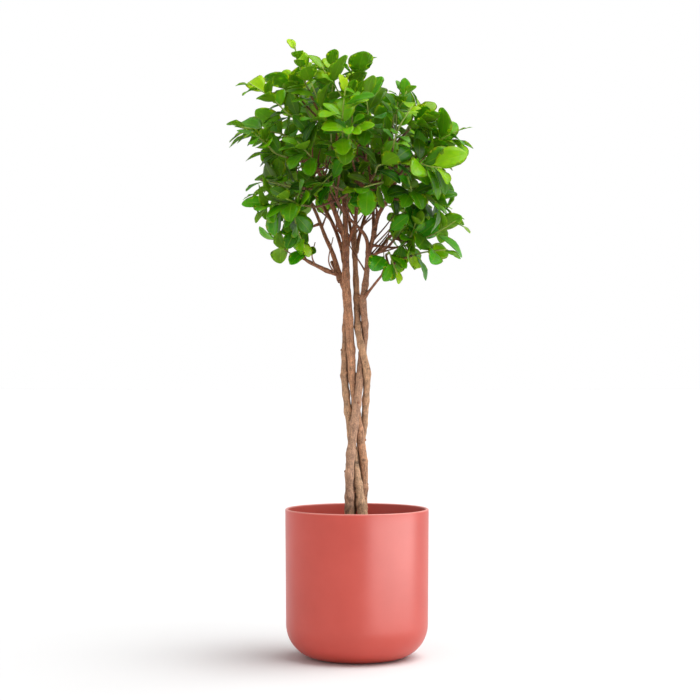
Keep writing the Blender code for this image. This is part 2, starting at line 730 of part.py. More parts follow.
def place_leaves(placed, grown):
    """Leaves taken in turn from every shoot, so that no shoot claims the room first."""
    found = {row[0]: [] for row in grown}
    missing = 0
    for index in range(max(row[4] for row in grown)):
        for number, stem, twig, shoot, count, size, turn, *_ in grown:
            if index >= count:
                continue
            index_here = count - 1 - index
            place = leaf_places(shoot[:, :3], count, turn)[index_here]
            owner = "shoot_%02d" % number
            for attempt in range(LEAF_TRIES):
                pose = leaf_pose(number, index_here, attempt, place, count, size)
                probes = [leaf_tree(pose, CLEARANCE, 0.0), leaf_tree(pose, CLEARANCE, STALK_SHARE)]
                centre = pose[0] @ Vector((0, pose[1] / 2, 0))
                reach = pose[1] * LEAF_REACH
                if placed.clear(probes[0], centre, reach, owner, probes[1]):
                    real = leaf_tree(pose, 0.0, 0.0)
                    placed.add(real, centre, reach, owner, leaf_tree(pose, 0.0, STALK_SHARE))
                    found[number].append(pose)
                    break
            else:
                missing += 1
    print("leaves", sum(len(v) for v in found.values()), "left out", missing)
    return found


def build_stems(home, surface, routes, limbs, grown):
    for name, route in routes.items():
        pieces = [tube(name, route, STEM_SIDES, home)]
        for number, limb in enumerate(limbs[name]):
            sides = STEM_SIDES if limb[0, 3] > THICK_LIMB else TWIG_SIDES
            pieces.append(tube("%s_limb_%d" % (name, number), limb, sides, home))
        for number, stem, twig, *_ in grown:
            if stem == name:
                pieces.append(tube("%s_twig_%d" % (name, number), twig, TWIG_SIDES, home))
        join(name, pieces, surface)


def build_sprays(home, surface, grown, leaves):
    for number, stem, twig, shoot, *_ in grown:
        name = "spray_%02d" % (number + 1)
        pieces = [tube(name, shoot, TWIG_SIDES, home)]
        for index, pose in enumerate(leaves[number]):
            mesh = bpy.data.meshes.new("leaf")
            shape = posed_blade(pose, LEAF_THICKNESS)
            shape.to_mesh(mesh)
            shape.free()
            pieces.append(add_object("%s_leaf_%d" % (name, index), mesh, home))
        join(name, pieces, surface)


def main():
    clear_scene()
    home = new_collection("potted_ficus")
    cutters = new_collection("cutters")
    cutters.hide_render = True
    coral = material("coral_glaze", "DE6E62", 0.42)
    earth = material("potting_soil", "3A2A20", 0.95)
    bark = material("bark", "A9744C", 0.75)
    green = material("leaf_green", "4E9A1E", 0.45)

    routes = stem_routes()
    limbs = {name: limb_routes(name, routes[name][-1]) for name in STEMS}
    build_pot(home, coral)
    feet = [tuple(route[0, [0, 1, 3]]) for route in routes.values()]
    build_soil(home, cutters, earth, feet)

    placed = Placed()
    for name in STEMS:
        add_to_placed(placed, routes[name], name)
        for limb in limbs[name]:
            add_to_placed(placed, limb, name)
    grown = place_shoots(placed, limbs, front_shoots() + back_shoots())
    leaves = place_leaves(placed, grown)
    build_stems(home, bark, routes, trimmed_limbs(limbs, grown), grown)
    build_sprays(home, green, grown, leaves)


if __name__ == "__main__":
    main()
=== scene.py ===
# %% [markdown]
# # A potted ficus with a braided trunk
#
# Four young trees were woven together while their stems were soft, then left to branch into one
# loose head. The real plant is bark, green wood and leaves in a glazed pot. This notebook dresses
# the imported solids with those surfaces, one piece after another.

import math
import random
from collections import namedtuple

import bmesh
import bpy
import numpy as np
from mathutils import Matrix, Vector
from mathutils.bvhtree import BVHTree
from mathutils.kdtree import KDTree


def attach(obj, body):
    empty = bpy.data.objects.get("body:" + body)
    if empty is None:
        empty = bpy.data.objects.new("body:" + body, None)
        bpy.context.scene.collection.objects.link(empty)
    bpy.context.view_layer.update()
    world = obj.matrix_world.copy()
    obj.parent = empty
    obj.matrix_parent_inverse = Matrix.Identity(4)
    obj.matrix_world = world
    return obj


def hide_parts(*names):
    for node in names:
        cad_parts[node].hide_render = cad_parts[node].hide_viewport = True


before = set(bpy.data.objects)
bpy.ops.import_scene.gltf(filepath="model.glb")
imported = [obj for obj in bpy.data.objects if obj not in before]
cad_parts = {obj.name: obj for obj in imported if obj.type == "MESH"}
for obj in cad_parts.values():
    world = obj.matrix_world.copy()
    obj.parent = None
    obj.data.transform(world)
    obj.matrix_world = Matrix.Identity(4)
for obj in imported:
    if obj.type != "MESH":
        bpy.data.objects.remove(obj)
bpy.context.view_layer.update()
MM = 0.001

# %% [markdown]
# ## Helpers
#
# Colours are picked on a screen, so they are written as sRGB hex values. Blender mixes light in
# linear numbers, and one function turns one into the other. A pattern is measured on the real
# thing in millimetres, and a second function turns that into the scale of a texture. A third adds
# any node with its settings and what feeds it, so that a node tree reads like a list.

# %% Colour and scale helpers
def colour(code):
    """An sRGB hex value as linear red, green, blue and a solid alpha."""
    channels = [int(code[i : i + 2], 16) / 255 for i in (0, 2, 4)]
    return (*[c / 12.92 if c <= 0.04045 else ((c + 0.055) / 1.055) ** 2.4 for c in channels], 1.0)


def marks_of(size):
    """The scale of a pattern whose marks are this many millimetres wide: how many fill a metre."""
    return float(round(1 / (size * MM)))


print("white is", colour("FFFFFF"), "and 2.5 mm marks have the scale", marks_of(2.5))

# %% Node helpers
# Inputs of three kinds of node in the order in which a row of numbers fills them.
NOISE = ("Vector", "Scale", "Detail", "Roughness")
RANGE = ("Value", "From Min", "From Max", "To Min", "To Max")
BUMP = ("Height", "Strength", "Distance", "Normal")


def feed(tree, node, inputs):
    """Fills inputs, each with a value, from a socket or from a node's first working output."""
    for name, value in inputs.items():
        if isinstance(value, bpy.types.Node):
            value = next(socket for socket in value.outputs if socket.enabled)
        if isinstance(value, bpy.types.NodeSocket):
            tree.links.new(value, node.inputs[name])
        else:
            node.inputs[name].default_value = value


def add(tree, kind, inputs=(), stops=(), **settings):
    """One node with its settings and inputs. Stops are the places and codes of a ramp's colours."""
    node = tree.nodes.new(kind)
    for name, value in settings.items():
        setattr(node, name, value)
    feed(tree, node, dict(inputs))
    if stops:
        marks = node.color_ramp.elements
        for mark, (place, code) in zip((marks[0], marks[1]), (stops[0], stops[-1])):
            mark.position, mark.color = place, colour(code)
        for place, code in stops[1:-1]:
            marks.new(place).color = colour(code)
    return node


print("a row fills", len(NOISE), "inputs of a noise,", len(RANGE), "of a range,", len(BUMP), "of a bump")

# %% Object and surface helpers
def add_object(name, data):
    made = bpy.data.objects.new(name, data)
    bpy.context.scene.collection.objects.link(made)
    return made


def new_surface(name, inputs):
    """A material with one Principled shader, its tree, and the place on the piece to draw on."""
    made = bpy.data.materials.new(name)
    made.use_nodes = True
    tree = made.node_tree
    tree.nodes.clear()
    shader = add(tree, "ShaderNodeBsdfPrincipled", inputs)
    add(tree, "ShaderNodeOutputMaterial", {"Surface": shader})
    print("surface", name)
    return made, tree, shader, add(tree, "ShaderNodeTexCoord").outputs["Object"]


def keep(piece, slot, *nodes):
    """The piece rides on the plant and stands for these nodes, which are hidden. The slot is not used."""
    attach(piece, "root")
    if nodes:
        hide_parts(*nodes)


print("the first nodes to dress are", *sorted(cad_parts)[:3])

# %% [markdown]
# A geometry tree makes whatever repeats or follows a path. It gets its guide as a mesh and its
# sizes as named inputs, and its result is turned into a plain mesh, because the export keeps
# neither instances nor live trees.

# %% Geometry tree helpers
def new_tree(name, given):
    """An empty geometry tree with these named inputs, and the sockets that hand them in."""
    tree = bpy.data.node_groups.new(name, "GeometryNodeTree")
    tree.interface.new_socket("Geometry", in_out="INPUT", socket_type="NodeSocketGeometry")
    tree.interface.new_socket("Geometry", in_out="OUTPUT", socket_type="NodeSocketGeometry")
    for label, kind in given.items():
        tree.interface.new_socket(label, in_out="INPUT", socket_type="NodeSocket" + kind)
    return tree, tree.nodes.new("NodeGroupInput").outputs


def end_tree(tree, geometry, surface):
    """Makes every copy real, gives it its surface and hands it out."""
    real = add(tree, "GeometryNodeRealizeInstances", {"Geometry": geometry})
    dressed = add(tree, "GeometryNodeSetMaterial", {"Geometry": real, "Material": surface})
    add(tree, "NodeGroupOutput", {0: dressed})
    print("tree", tree.name, len(tree.nodes), "nodes")


def formula(tree, values, steps):
    """Works a table of (result, operation, what goes in) out as Math nodes."""
    for name, operation, *parts in steps:
        inputs = {i: values[part] if isinstance(part, str) else part for i, part in enumerate(parts)}
        values[name] = add(tree, "ShaderNodeMath", inputs, operation=operation)
    return values

# %% From a tree to a plain mesh
def plain_mesh(piece):
    """What the piece's modifiers make of it, as its own mesh, and the modifiers gone."""
    graph = bpy.context.evaluated_depsgraph_get()
    piece.data = bpy.data.meshes.new_from_object(
        piece.evaluated_get(graph), preserve_all_data_layers=True, depsgraph=graph)
    piece.modifiers.clear()
    piece.data.name = piece.name
    print(piece.name, len(piece.data.polygons), "faces")
    return piece


def made_by(tree, name, guide, values):
    """The plain mesh that a tree makes from a guide mesh, as an object at the origin."""
    piece = add_object(name, guide)
    modifier = piece.modifiers.new("nodes", "NODES")
    modifier.node_group = tree
    for socket in tree.interface.items_tree:
        if socket.in_out == "INPUT" and socket.name in values:
            modifier[socket.identifier] = values[socket.name]
    return plain_mesh(piece)


def guide_mesh(name, points, edges, facts):
    """Loose points or lines that carry named numbers or vectors for a tree to read."""
    mesh = bpy.data.meshes.new(name)
    mesh.from_pydata([tuple(p) for p in points], edges, [])
    for fact, rows in facts.items():
        rows = np.array(rows, np.float32)
        vector = rows.ndim == 2
        layer = mesh.attributes.new(fact, "FLOAT_VECTOR" if vector else "FLOAT", "POINT")
        layer.data.foreach_set("vector" if vector else "value", rows.ravel())
    return mesh

# %% [markdown]
# ## Camera, light and floor
#
# The photograph was taken from straight ahead with a long lens, level with the middle of the
# plant: the pot's rim shows its far side a little and nothing leans. A wide lens close by could
# frame the same plant, but it would swell the pot, so this one is as long and stands as far off.

# %% Camera
CAMERA_PLACE = (-0.0107, -2.97, 0.471)
LEVEL_VIEW = (math.pi / 2, 0, 0)
SENSOR = 36.0
FOCAL_PIXELS = 1937
PHOTO_WIDTH = 700

lens = bpy.data.cameras.new("camera")
lens.sensor_width = SENSOR
lens.lens = SENSOR * FOCAL_PIXELS / PHOTO_WIDTH
camera = add_object("camera", lens)
camera.location = CAMERA_PLACE
camera.rotation_euler = LEVEL_VIEW
bpy.context.scene.camera = camera
print("lens", round(lens.lens, 1), "mm")

# %% [markdown]
# One broad key light hangs high on the right. It lights the top leaves and throws a soft shadow
# to the left. A weak fill from the left opens the shadows and the inside of the pot. A low, wide
# card on the right only shows as a reflection: it puts the sheen on that half of the glaze. The
# room does the rest: white paper behind the plant, pale walls, and a dim ceiling that is brighter
# towards the key, so that the inside of the head stays dark. One lamp alone would leave the far
# side black, and an even glow all round would leave no shadow, so each part is set by itself.

# %% Key light and room
KEY_FROM = Vector((0.45, -0.06, 0.89))
FILL_FROM = Vector((-0.62, -0.38, 0.69))
# Where each sun stands, how wide it looks in degrees, and its strength.
SUNS = {"key": (KEY_FROM, 64, 3.5), "fill": (FILL_FROM, 70, 0.42)}
CARD_PLACE = Vector((0.72, -0.44, 0.13))
CARD_AIM = Vector((0.0, 0.0, 0.12))
CARD_SIZE = (1.45, 0.26)
CARD_POWER = 9.0

for name, (way, angle, power) in SUNS.items():
    light = bpy.data.lights.new(name, "SUN")
    light.angle, light.energy = math.radians(angle), power
    add_object(name, light).rotation_euler = way.to_track_quat("Z", "Y").to_euler()

card = bpy.data.lights.new("card", "AREA")
card.shape = "RECTANGLE"
card.size, card.size_y = CARD_SIZE
card.energy = CARD_POWER
holder = add_object("card", card)
holder.location = CARD_PLACE
holder.rotation_euler = (CARD_PLACE - CARD_AIM).to_track_quat("Z", "Y").to_euler()
holder.visible_camera = holder.visible_diffuse = False
print("key light from", tuple(round(c, 2) for c in KEY_FROM))

# %% The room's own light
# From and to which share of the way each side of the room begins, and its brightness there.
CEILING = (-1.0, 1.0, 0.08, 0.40)
WALL = (0.20, 0.42, 1.0, 0.0)
PAPER = (0.90, 0.965, 0.90, 1.0)
WHITE = (1.0, 1.0, 1.0, 1.0)

room = bpy.data.worlds.new("white_room")
room.use_nodes = True
tree = room.node_tree
tree.nodes.clear()
direction = add(tree, "ShaderNodeTexCoord").outputs["Generated"]
towards = add(tree, "ShaderNodeVectorMath", {0: direction, 1: KEY_FROM}, operation="DOT_PRODUCT")
ceiling = add(tree, "ShaderNodeMapRange", zip(RANGE, (towards, *CEILING)))
level = add(tree, "ShaderNodeSeparateXYZ", {0: direction})
steep = add(tree, "ShaderNodeMath", {0: level.outputs["Z"]}, operation="ABSOLUTE")
wall = add(tree, "ShaderNodeMapRange", zip(RANGE, (steep, *WALL)), interpolation_type="SMOOTHSTEP")
paper = add(tree, "ShaderNodeMapRange", zip(RANGE, (level.outputs["Y"], *PAPER)),
            interpolation_type="SMOOTHSTEP")
strength = add(tree, "ShaderNodeMix", {0: wall, 2: ceiling, 3: paper})
glow = add(tree, "ShaderNodeBackground", {"Color": WHITE, "Strength": strength})
add(tree, "ShaderNodeOutputWorld", {"Surface": glow})
bpy.context.scene.world = room
bpy.context.scene.view_settings.view_transform = "Standard"
print("room", room.name, len(tree.nodes), "nodes")

# %% [markdown]
# The plant stands on a smooth pale board. A large disc is enough for it, because only its tone and
# the shadow on it show, and a faint cloud in the paint keeps it from being one flat colour.

# %% A plain pale floor
FLOOR_RADIUS = 20.0
FLOOR_SIDES = 96
FLOOR_CLOUD = 333
BOARD_LIGHT, BOARD_DARK = "E1E1E1", "DEDEDE"

painted_board, tree, shader, spot = new_surface("white_painted_board", {"Roughness": 0.9})
cloud = add(tree, "ShaderNodeTexNoise", zip(NOISE, (spot, marks_of(FLOOR_CLOUD))))
tone = add(tree, "ShaderNodeMix", {"Factor": cloud, "A": colour(BOARD_LIGHT), "B": colour(BOARD_DARK)},
           data_type="RGBA")
feed(tree, shader, {"Base Color": tone})

shape = bmesh.new()
bmesh.ops.create_circle(shape, cap_ends=True, segments=FLOOR_SIDES, radius=FLOOR_RADIUS)
floor_mesh = bpy.data.meshes.new("floor")
shape.to_mesh(floor_mesh)
shape.free()
floor_mesh.materials.append(painted_board)
floor = add_object("floor", floor_mesh)
print("floor", FLOOR_RADIUS, "m across its radius")

# %% [markdown]
# ## The braided stems
#
# Each stem is one route from the soil to the crown. The routes are drawn from the picture in
# millimetres, then read on shared levels and pushed apart until the bark of one only leans on the
# next. The solids follow the same routes, so the bark made later fits round them.

# %% Stem routes
SOIL_TOP = 0.197
SOIL_MOUND = 0.004
STEM_FOOT = 0.120

# Each stem from the crown down to the soil: x, y, z and radius in millimetres.
STEMS = {
    "stem_front_left": (
        (-15, -1, 548, 6.5), (-12, -1, 517, 6.3), (-9, -1, 486, 6.2), (-7, 0, 459, 6.2),
        (-6, 4, 431, 6.0), (-5, 7, 406, 6.0), (0, 7, 382, 6.0), (6, 2, 364, 6.2),
        (10, -3, 345, 6.4), (8, -2, 324, 6.4), (7, 3, 305, 6.2), (7, 8, 287, 6.2),
        (7, 8, 256, 6.5), (8, 8, 225, 7.2),
    ),
    "stem_back_left": (
        (-15, 12, 548, 5.4), (-11, 12, 517, 5.4), (-9, 11, 489, 5.4), (-12, 8, 468, 5.4),
        (-17, 3, 446, 5.5), (-18, 0, 417, 5.6), (-16, 4, 391, 5.6), (-13, 8, 366, 5.7),
        (-10, 8, 345, 5.7), (-5, 4, 324, 5.8), (-1, -2, 306, 6.0), (3, -6, 287, 6.2),
        (7, -6, 257, 6.6), (9, -6, 226, 8.0),
    ),
    "stem_right": (
        (9, -1, 548, 5.2), (11, 1, 517, 5.2), (13, 5, 489, 5.3), (12, 6, 465, 5.4),
        (7, 1, 440, 5.6), (3, -5, 413, 5.7), (0, -7, 387, 5.8), (-3, -7, 367, 6.2),
        (-6, -6, 346, 6.6), (-9, -6, 324, 6.6), (-11, -5, 303, 6.6), (-12, -5, 280, 6.5),
        (-11, -5, 254, 6.4), (-11, -5, 226, 8.0),
    ),
    "stem_back": (
        (0, 13, 548, 5.0), (1, 4, 520, 5.0), (6, -6, 492, 5.1), (11, -7, 471, 5.1),
        (13, -3, 446, 5.2), (15, 0, 417, 5.2), (15, 2, 388, 5.3), (14, 7, 366, 5.3),
        (10, 10, 345, 5.4), (5, 12, 323, 5.4), (0, 13, 302, 5.5), (-3, 12, 279, 5.6),
        (-7, 9, 253, 6.0), (-9, 8, 225, 7.2),
    ),
}

print("points of the stems", sum(len(rows) for rows in STEMS.values()))

# %% Smooth the routes and push them apart
# The first shared level lies this far above the soil, and the bark starts this far above its top.
FIRST_LEVEL = 0.02
BARK_START = 0.002
LEVEL_STEP = 0.022
ROUTE_SPANS = 6
# How far apart the four strands are pushed, and how often they are pushed and smoothed.
STRAND_SPACING = 1.06
STRAND_GAP = 0.0007
SETTLE_STEPS = 160
SMOOTH_STEPS = 130
SMOOTH_SHARE = 0.15


def spline(points, spans):
    """A smooth route through the points, with this many straight spans between each two."""
    points = np.array(points, float)
    ends = np.vstack([2 * points[0] - points[1], points, 2 * points[-1] - points[-2]])
    route = []
    for i in range(len(points) - 1):
        a, b, c, d = ends[i : i + 4]
        for t in np.arange(spans) / spans:
            route.append(0.5 * (2 * b + (c - a) * t + (2 * a - 5 * b + 4 * c - d) * t**2
                                + (3 * b - a - 3 * c + d) * t**3))
    return np.array(route + [points[-1]])


def settled_stems():
    """The four routes on shared levels, pushed apart until they only lean on each other."""
    top = max(rows[0][2] for rows in STEMS.values()) * MM
    levels = np.append(np.arange(SOIL_TOP + FIRST_LEVEL, top - LEVEL_STEP / 2, LEVEL_STEP), top)
    routes = []
    for rows in STEMS.values():
        fine = spline(np.array(rows) * MM, ROUTE_SPANS)[::-1]
        routes.append(np.column_stack([np.interp(levels, fine[:, 2], fine[:, k]) for k in (0, 1, 3)]))
    routes = np.array(routes)
    for step in range(SETTLE_STEPS):
        for i in range(len(routes)):
            for j in range(i):
                apart = routes[i, :, :2] - routes[j, :, :2]
                distance = np.linalg.norm(apart, axis=1)
                need = (routes[i, :, 2] + routes[j, :, 2]) * STRAND_SPACING + STRAND_GAP
                push = np.maximum(need - distance, 0) / 2
                move = apart / distance[:, None] * push[:, None]
                routes[i, :, :2] += move
                routes[j, :, :2] -= move
        if step < SMOOTH_STEPS:
            middle = (routes[:, :-2, :2] + routes[:, 2:, :2]) / 2
            routes[:, 1:-1, :2] += SMOOTH_SHARE * (middle - routes[:, 1:-1, :2])
    return levels, routes


def stem_routes():
    """Each stem's route from its foot in the soil up to the crown, as (x, y, z, radius)."""
    levels, routes = settled_stems()
    found = {}
    for name, route in zip(STEMS, routes):
        x, y, radius = route[0]
        foot = [(x, y, z, radius) for z in (STEM_FOOT, SOIL_TOP + SOIL_MOUND + BARK_START)]
        rise = [(*route[k, :2], levels[k], route[k, 2]) for k in range(1, len(levels))]
        found[name] = np.array(foot + rise)
    return found

routes = stem_routes()
print("stems", {name: len(route) for name, route in routes.items()})

# %% [markdown]
# Above the braid each stem forks into a few limbs, and the first of them carries the stem on. A
# rule could branch them, but the picture shows where those in front go, so they are drawn like the
# stems, and those behind are drawn to match.

# %% Limb routes
# The limbs that grow from each stem: a route in millimetres, then the first and last radius.
LIMBS = {
    "stem_front_left": (
        (((-15, -1, 548), (-17, -4, 578), (-17, -8, 609), (-18, -10, 636), (-27, -14, 663),
          (-38, -22, 693), (-52, -32, 729), (-70, -42, 758)), 6.5, 2.2),
        (((-17, -10, 630), (-18, -8, 667), (-21, -6, 707), (-28, -4, 754), (-32, 0, 805)), 4.4, 1.9),
        (((-17, -9, 627), (-6, -9, 656), (0, -16, 687), (4, -32, 719)), 2.8, 1.8),
        (((-18, -7, 606), (-32, 16, 653), (-53, 42, 698), (-75, 66, 741)), 3.4, 1.9),
    ),
    "stem_back_left": (
        (((-15, 12, 548), (-19, 11, 566), (-27, 10, 585), (-47, 0, 593), (-72, -12, 605),
          (-87, -18, 614)), 5.4, 2.0),
        (((-25, 10, 579), (-37, 12, 619), (-49, 8, 646), (-64, 2, 684), (-81, -4, 716)), 4.0, 1.9),
        (((-25, 12, 577), (-39, 36, 608), (-58, 64, 643), (-77, 90, 683)), 3.2, 1.9),
    ),
    "stem_right": (
        (((9, -1, 548), (12, -2, 566), (15, -2, 591), (18, -2, 618), (25, -6, 645),
          (32, -14, 675), (47, -26, 702), (62, -36, 732)), 5.2, 2.1),
        (((18, -3, 615), (15, -10, 639), (6, -18, 654), (-15, -30, 674), (-32, -46, 697)), 3.2, 1.9),
        (((26, -6, 645), (25, 2, 680), (23, 6, 717), (17, 8, 760)), 2.8, 1.8),
        (((18, -2, 612), (29, -8, 618), (43, -18, 625), (59, -30, 641)), 2.4, 1.7),
        (((11, -4, 551), (21, -14, 564), (33, -24, 579), (48, -36, 597)), 2.1, 1.7),
        (((17, 0, 603), (39, 28, 632), (61, 52, 661), (83, 70, 691)), 3.0, 1.9),
    ),
    "stem_back": (
        (((0, 13, 548), (-1, 14, 567), (-2, 17, 591), (-3, 20, 616), (-4, 22, 644),
          (-1, 24, 684), (2, 28, 731), (-1, 26, 783)), 5.0, 1.9),
        (((-3, 20, 613), (-9, 40, 654), (-17, 62, 700), (-25, 84, 745)), 3.0, 1.9),
        (((-2, 20, 622), (8, 44, 664), (21, 70, 706), (34, 96, 750)), 3.0, 1.9),
        (((-1, 17, 591), (16, 46, 624), (40, 76, 647), (62, 102, 668)), 2.6, 1.9),
    ),
}


def limb_routes(name, top):
    """The routes of a stem's limbs, the first of which carries the stem itself on."""
    found = []
    for number, (rows, first, last) in enumerate(LIMBS[name]):
        radii = np.linspace(first, last, len(rows))
        rows = np.column_stack([np.array(rows, float), radii]) * MM
        if number == 0:
            rows[0] = top
        found.append(rows)
    return found

limbs = {name: limb_routes(name, routes[name][-1]) for name in STEMS}
print("limbs", sum(len(found) for found in limbs.values()))

# %% [markdown]
# ## Shoots
#
# Green shoots carry the leaves. Those that the picture shows are placed one by one, and the far
# side of the crown, which it hides, is filled by a rule: each next shoot turns on by the golden
# angle, as leaves and twigs do on most plants.

# %% Where the shoots stand
# Shoots seen from the front: where the green wood begins and ends in millimetres, how many
# leaves it bears, the length of its largest leaf, and the turn of its first leaf in degrees.
FRONT_SHOOTS = (
    ((-46, -59, 757), (-77, -76, 892), 7, 46, 270),
    ((-80, -29, 817), (-158, -45, 871), 5, 43, 140),
    ((-96, -15, 790), (-170, -9, 811), 6, 51, 130),
    ((-107, -33, 763), (-153, -58, 795), 5, 38, 140),
    ((-67, -88, 756), (-84, -107, 774), 5, 43, 280),
    ((-90, -22, 720), (-150, -12, 711), 4, 44, 10),
    ((-109, -57, 693), (-133, -82, 685), 6, 51, 50),
    ((-83, -42, 709), (-98, -67, 685), 4, 29, 260),
    ((-107, 10, 664), (-94, -15, 678), 5, 26, 100),
    ((-81, -19, 617), (-76, -45, 622), 3, 36, 200),
    ((-79, -90, 686), (-100, -115, 692), 5, 45, 30),
    ((-93, -53, 691), (-81, -74, 630), 5, 34, 50),
    ((-24, -101, 761), (-18, -156, 845), 6, 44, 110),
    ((-37, -24, 842), (-38, -25, 901), 6, 43, 270),
    ((-15, -2, 847), (4, -7, 901), 5, 51, 160),
    ((-9, -40, 803), (-49, -78, 888), 5, 51, 230),
    ((15, -68, 797), (13, -86, 847), 5, 51, 120),
    ((59, -29, 784), (65, -51, 861), 5, 26, 250),
    ((79, -32, 805), (102, -32, 815), 6, 36, 220),
    ((96, -8, 770), (145, -25, 800), 6, 51, 15),
    ((83, -63, 748), (119, -94, 742), 5, 51, 350),
    ((79, -37, 710), (124, -40, 693), 5, 48, 60),
    ((53, -108, 770), (76, -137, 821), 5, 26, 130),
    ((27, -83, 735), (62, -74, 751), 5, 43, 340),
    ((-9, -34, 760), (-46, -66, 727), 5, 47, 20),
    ((72, -37, 701), (80, -82, 713), 5, 38, 40),
    ((36, -54, 724), (1, -91, 710), 4, 42, 70),
    ((94, 12, 666), (141, 24, 679), 5, 40, 350),
    ((80, -28, 639), (142, -66, 661), 5, 51, 20),
    ((65, -32, 637), (79, -41, 616), 4, 51, 100),
    ((46, -44, 616), (58, -69, 590), 4, 30, 110),
    ((77, -42, 640), (87, -64, 660), 6, 35, 10),
    ((74, -16, 680), (65, 8, 677), 3, 39, 20),
    ((-11, -105, 770), (-15, -169, 793), 5, 41, 240),
    ((-37, -104, 714), (-61, -94, 719), 5, 33, 280),
    ((-84, 5, 853), (-102, 12, 875), 5, 51, 150),
    ((54, -30, 810), (72, -59, 855), 5, 36, 340),
    ((-138, -36, 727), (-104, -40, 719), 4, 41, 330),
    ((-73, -58, 862), (-92, -85, 918), 3, 33, 180),
    ((83, -44, 613), (129, -66, 621), 4, 41, 220),
)

CROWN_AXIS = Vector((-0.010, 0.0, 0.0))
CROWN_CENTRE_Z = 0.770
GOLDEN_SHARE = 0.618034
BACK_SHOOTS = 14
BACK_REACH = Vector((0.128, 0.150, 0.118))
BACK_SPREAD = math.radians(190)
BACK_PHASE = 0.91
BACK_LOW = -0.45
BACK_HIGH = 0.84
BACK_START = 0.68
BACK_DROP = 0.012
BACK_TURN = 50
LEAST_FLAT = 0.05
BACK_LEAVES = 5
BACK_LEAF = 56


def back_shoots():
    """Shoots spread over the back of the crown by the golden angle."""
    found = []
    for k in range(BACK_SHOOTS):
        turn = math.pi / 2 + BACK_SPREAD * ((BACK_PHASE + k * GOLDEN_SHARE) % 1.0 - 0.5)
        lift = BACK_LOW + (BACK_HIGH - BACK_LOW) * (k + 0.5) / BACK_SHOOTS
        flat = math.sqrt(max(1 - lift * lift, LEAST_FLAT))
        way = Vector((flat * math.cos(turn), flat * math.sin(turn), lift))
        tip = Vector(way * scale for way, scale in zip(way, BACK_REACH))
        centre = CROWN_AXIS + Vector((0, 0, CROWN_CENTRE_Z))
        start = centre + tip * BACK_START - Vector((0, 0, BACK_DROP))
        found.append((start, centre + tip, BACK_LEAVES, BACK_LEAF, BACK_TURN * k))
    return found


def front_shoots():
    return [(Vector(a) * MM, Vector(b) * MM, *rest) for a, b, *rest in FRONT_SHOOTS]

shoots = front_shoots() + back_shoots()
print("shoots", len(shoots))

# %% [markdown]
# A real twig finds its own way between its neighbours. Here each new piece is tried against
# everything that stands already, as a thin test shape in a search tree, and takes the first way
# that is free.

# %% What stands in the crown
REST_GAP = 0.0003
CLEARANCE = 0.0006
BALL_MARGIN = 0.012
TEST_SWELL = 1.1
TEST_SIDES = 6


class Placed:
    """What already stands in the crown, kept as trees that a new piece is tested against."""

    def __init__(self):
        self.items = []

    def add(self, tree, centre, reach, owner, part=None):
        """The part is what counts for the owner's own leaves: a leaf without its stalk."""
        self.items.append((tree, part or tree, centre, reach, owner))

    def clear(self, tree, centre, reach, owner, part=None):
        """Whether the tree misses every other owner's pieces, and its part the owner's own."""
        for whole, own_part, other, other_reach, name in self.items:
            if (other - centre).length > reach + other_reach:
                continue
            if name != owner and whole.overlap(tree):
                return False
            if name == owner and part and own_part.overlap(part):
                return False
        return True


def tube_tree(route, grow=0.0):
    """A test tube round a route of (x, y, z, radius), made of plain rings."""
    verts = []
    for k, row in enumerate(route):
        point = Vector(row[:3])
        way = Vector(route[min(k + 1, len(route) - 1)][:3]) - Vector(route[max(k - 1, 0)][:3])
        side = way.orthogonal().normalized()
        other = way.normalized().cross(side)
        for s in range(TEST_SIDES):
            angle = 2 * math.pi * s / TEST_SIDES
            out = side * math.cos(angle) + other * math.sin(angle)
            verts.append(point + out * (row[3] * TEST_SWELL + grow))
    faces = []
    for low in range(0, len(verts) - TEST_SIDES, TEST_SIDES):
        for s in range(TEST_SIDES):
            t = (s + 1) % TEST_SIDES
            faces.append((low + s, low + t, low + TEST_SIDES + t, low + TEST_SIDES + s))
    faces += [tuple(range(TEST_SIDES)), tuple(range(len(verts) - TEST_SIDES, len(verts)))]
    return BVHTree.FromPolygons(verts, faces)


def ball_round(points):
    """A centre and reach that hold all the points."""
    points = [Vector(p[:3]) for p in points]
    centre = sum(points, Vector()) / len(points)
    return centre, max((p - centre).length for p in points) + BALL_MARGIN


def add_to_placed(placed, route, owner):
    placed.add(tube_tree(route), *ball_round(route), owner)


print("room kept round each piece", CLEARANCE / MM, "mm")

# %% Where a twig can grow from
# A twig may grow from a limb at every half step of its route, the stem's own a step further up.
FORK_STEP = 0.5
FORK_END = 0.9
BEND_COST = 0.6


def point_on(route, where):
    """The point at a whole or part step along a route."""
    k = min(int(where), len(route) - 2)
    return route[k] + (route[k + 1] - route[k]) * (where - k)


def parents_of(limbs, start, way):
    """Where a twig to this start could grow from: the best place on each limb, nearest first."""
    found = []
    for name, routes in limbs.items():
        for number, route in enumerate(routes):
            options = []
            first = FORK_STEP + (number == 0)
            for where in np.arange(first, len(route) - FORK_END, FORK_STEP):
                point = Vector(point_on(route, where)[:3])
                along = (point - Vector(point_on(route, where - FORK_STEP)[:3])).normalized()
                reach = start - point
                bend = 1.0 - reach.normalized().dot((along + way).normalized())
                options.append((reach.length * (1.0 + BEND_COST * bend), name, number, where, point))
            found.append(min(options, key=lambda option: option[0]))
    found.sort(key=lambda option: option[0])
    return [option[1:] for option in found]


print("limbs that could bear the first shoot", len(parents_of(limbs, shoots[0][0], Vector((0, 0, 1)))))

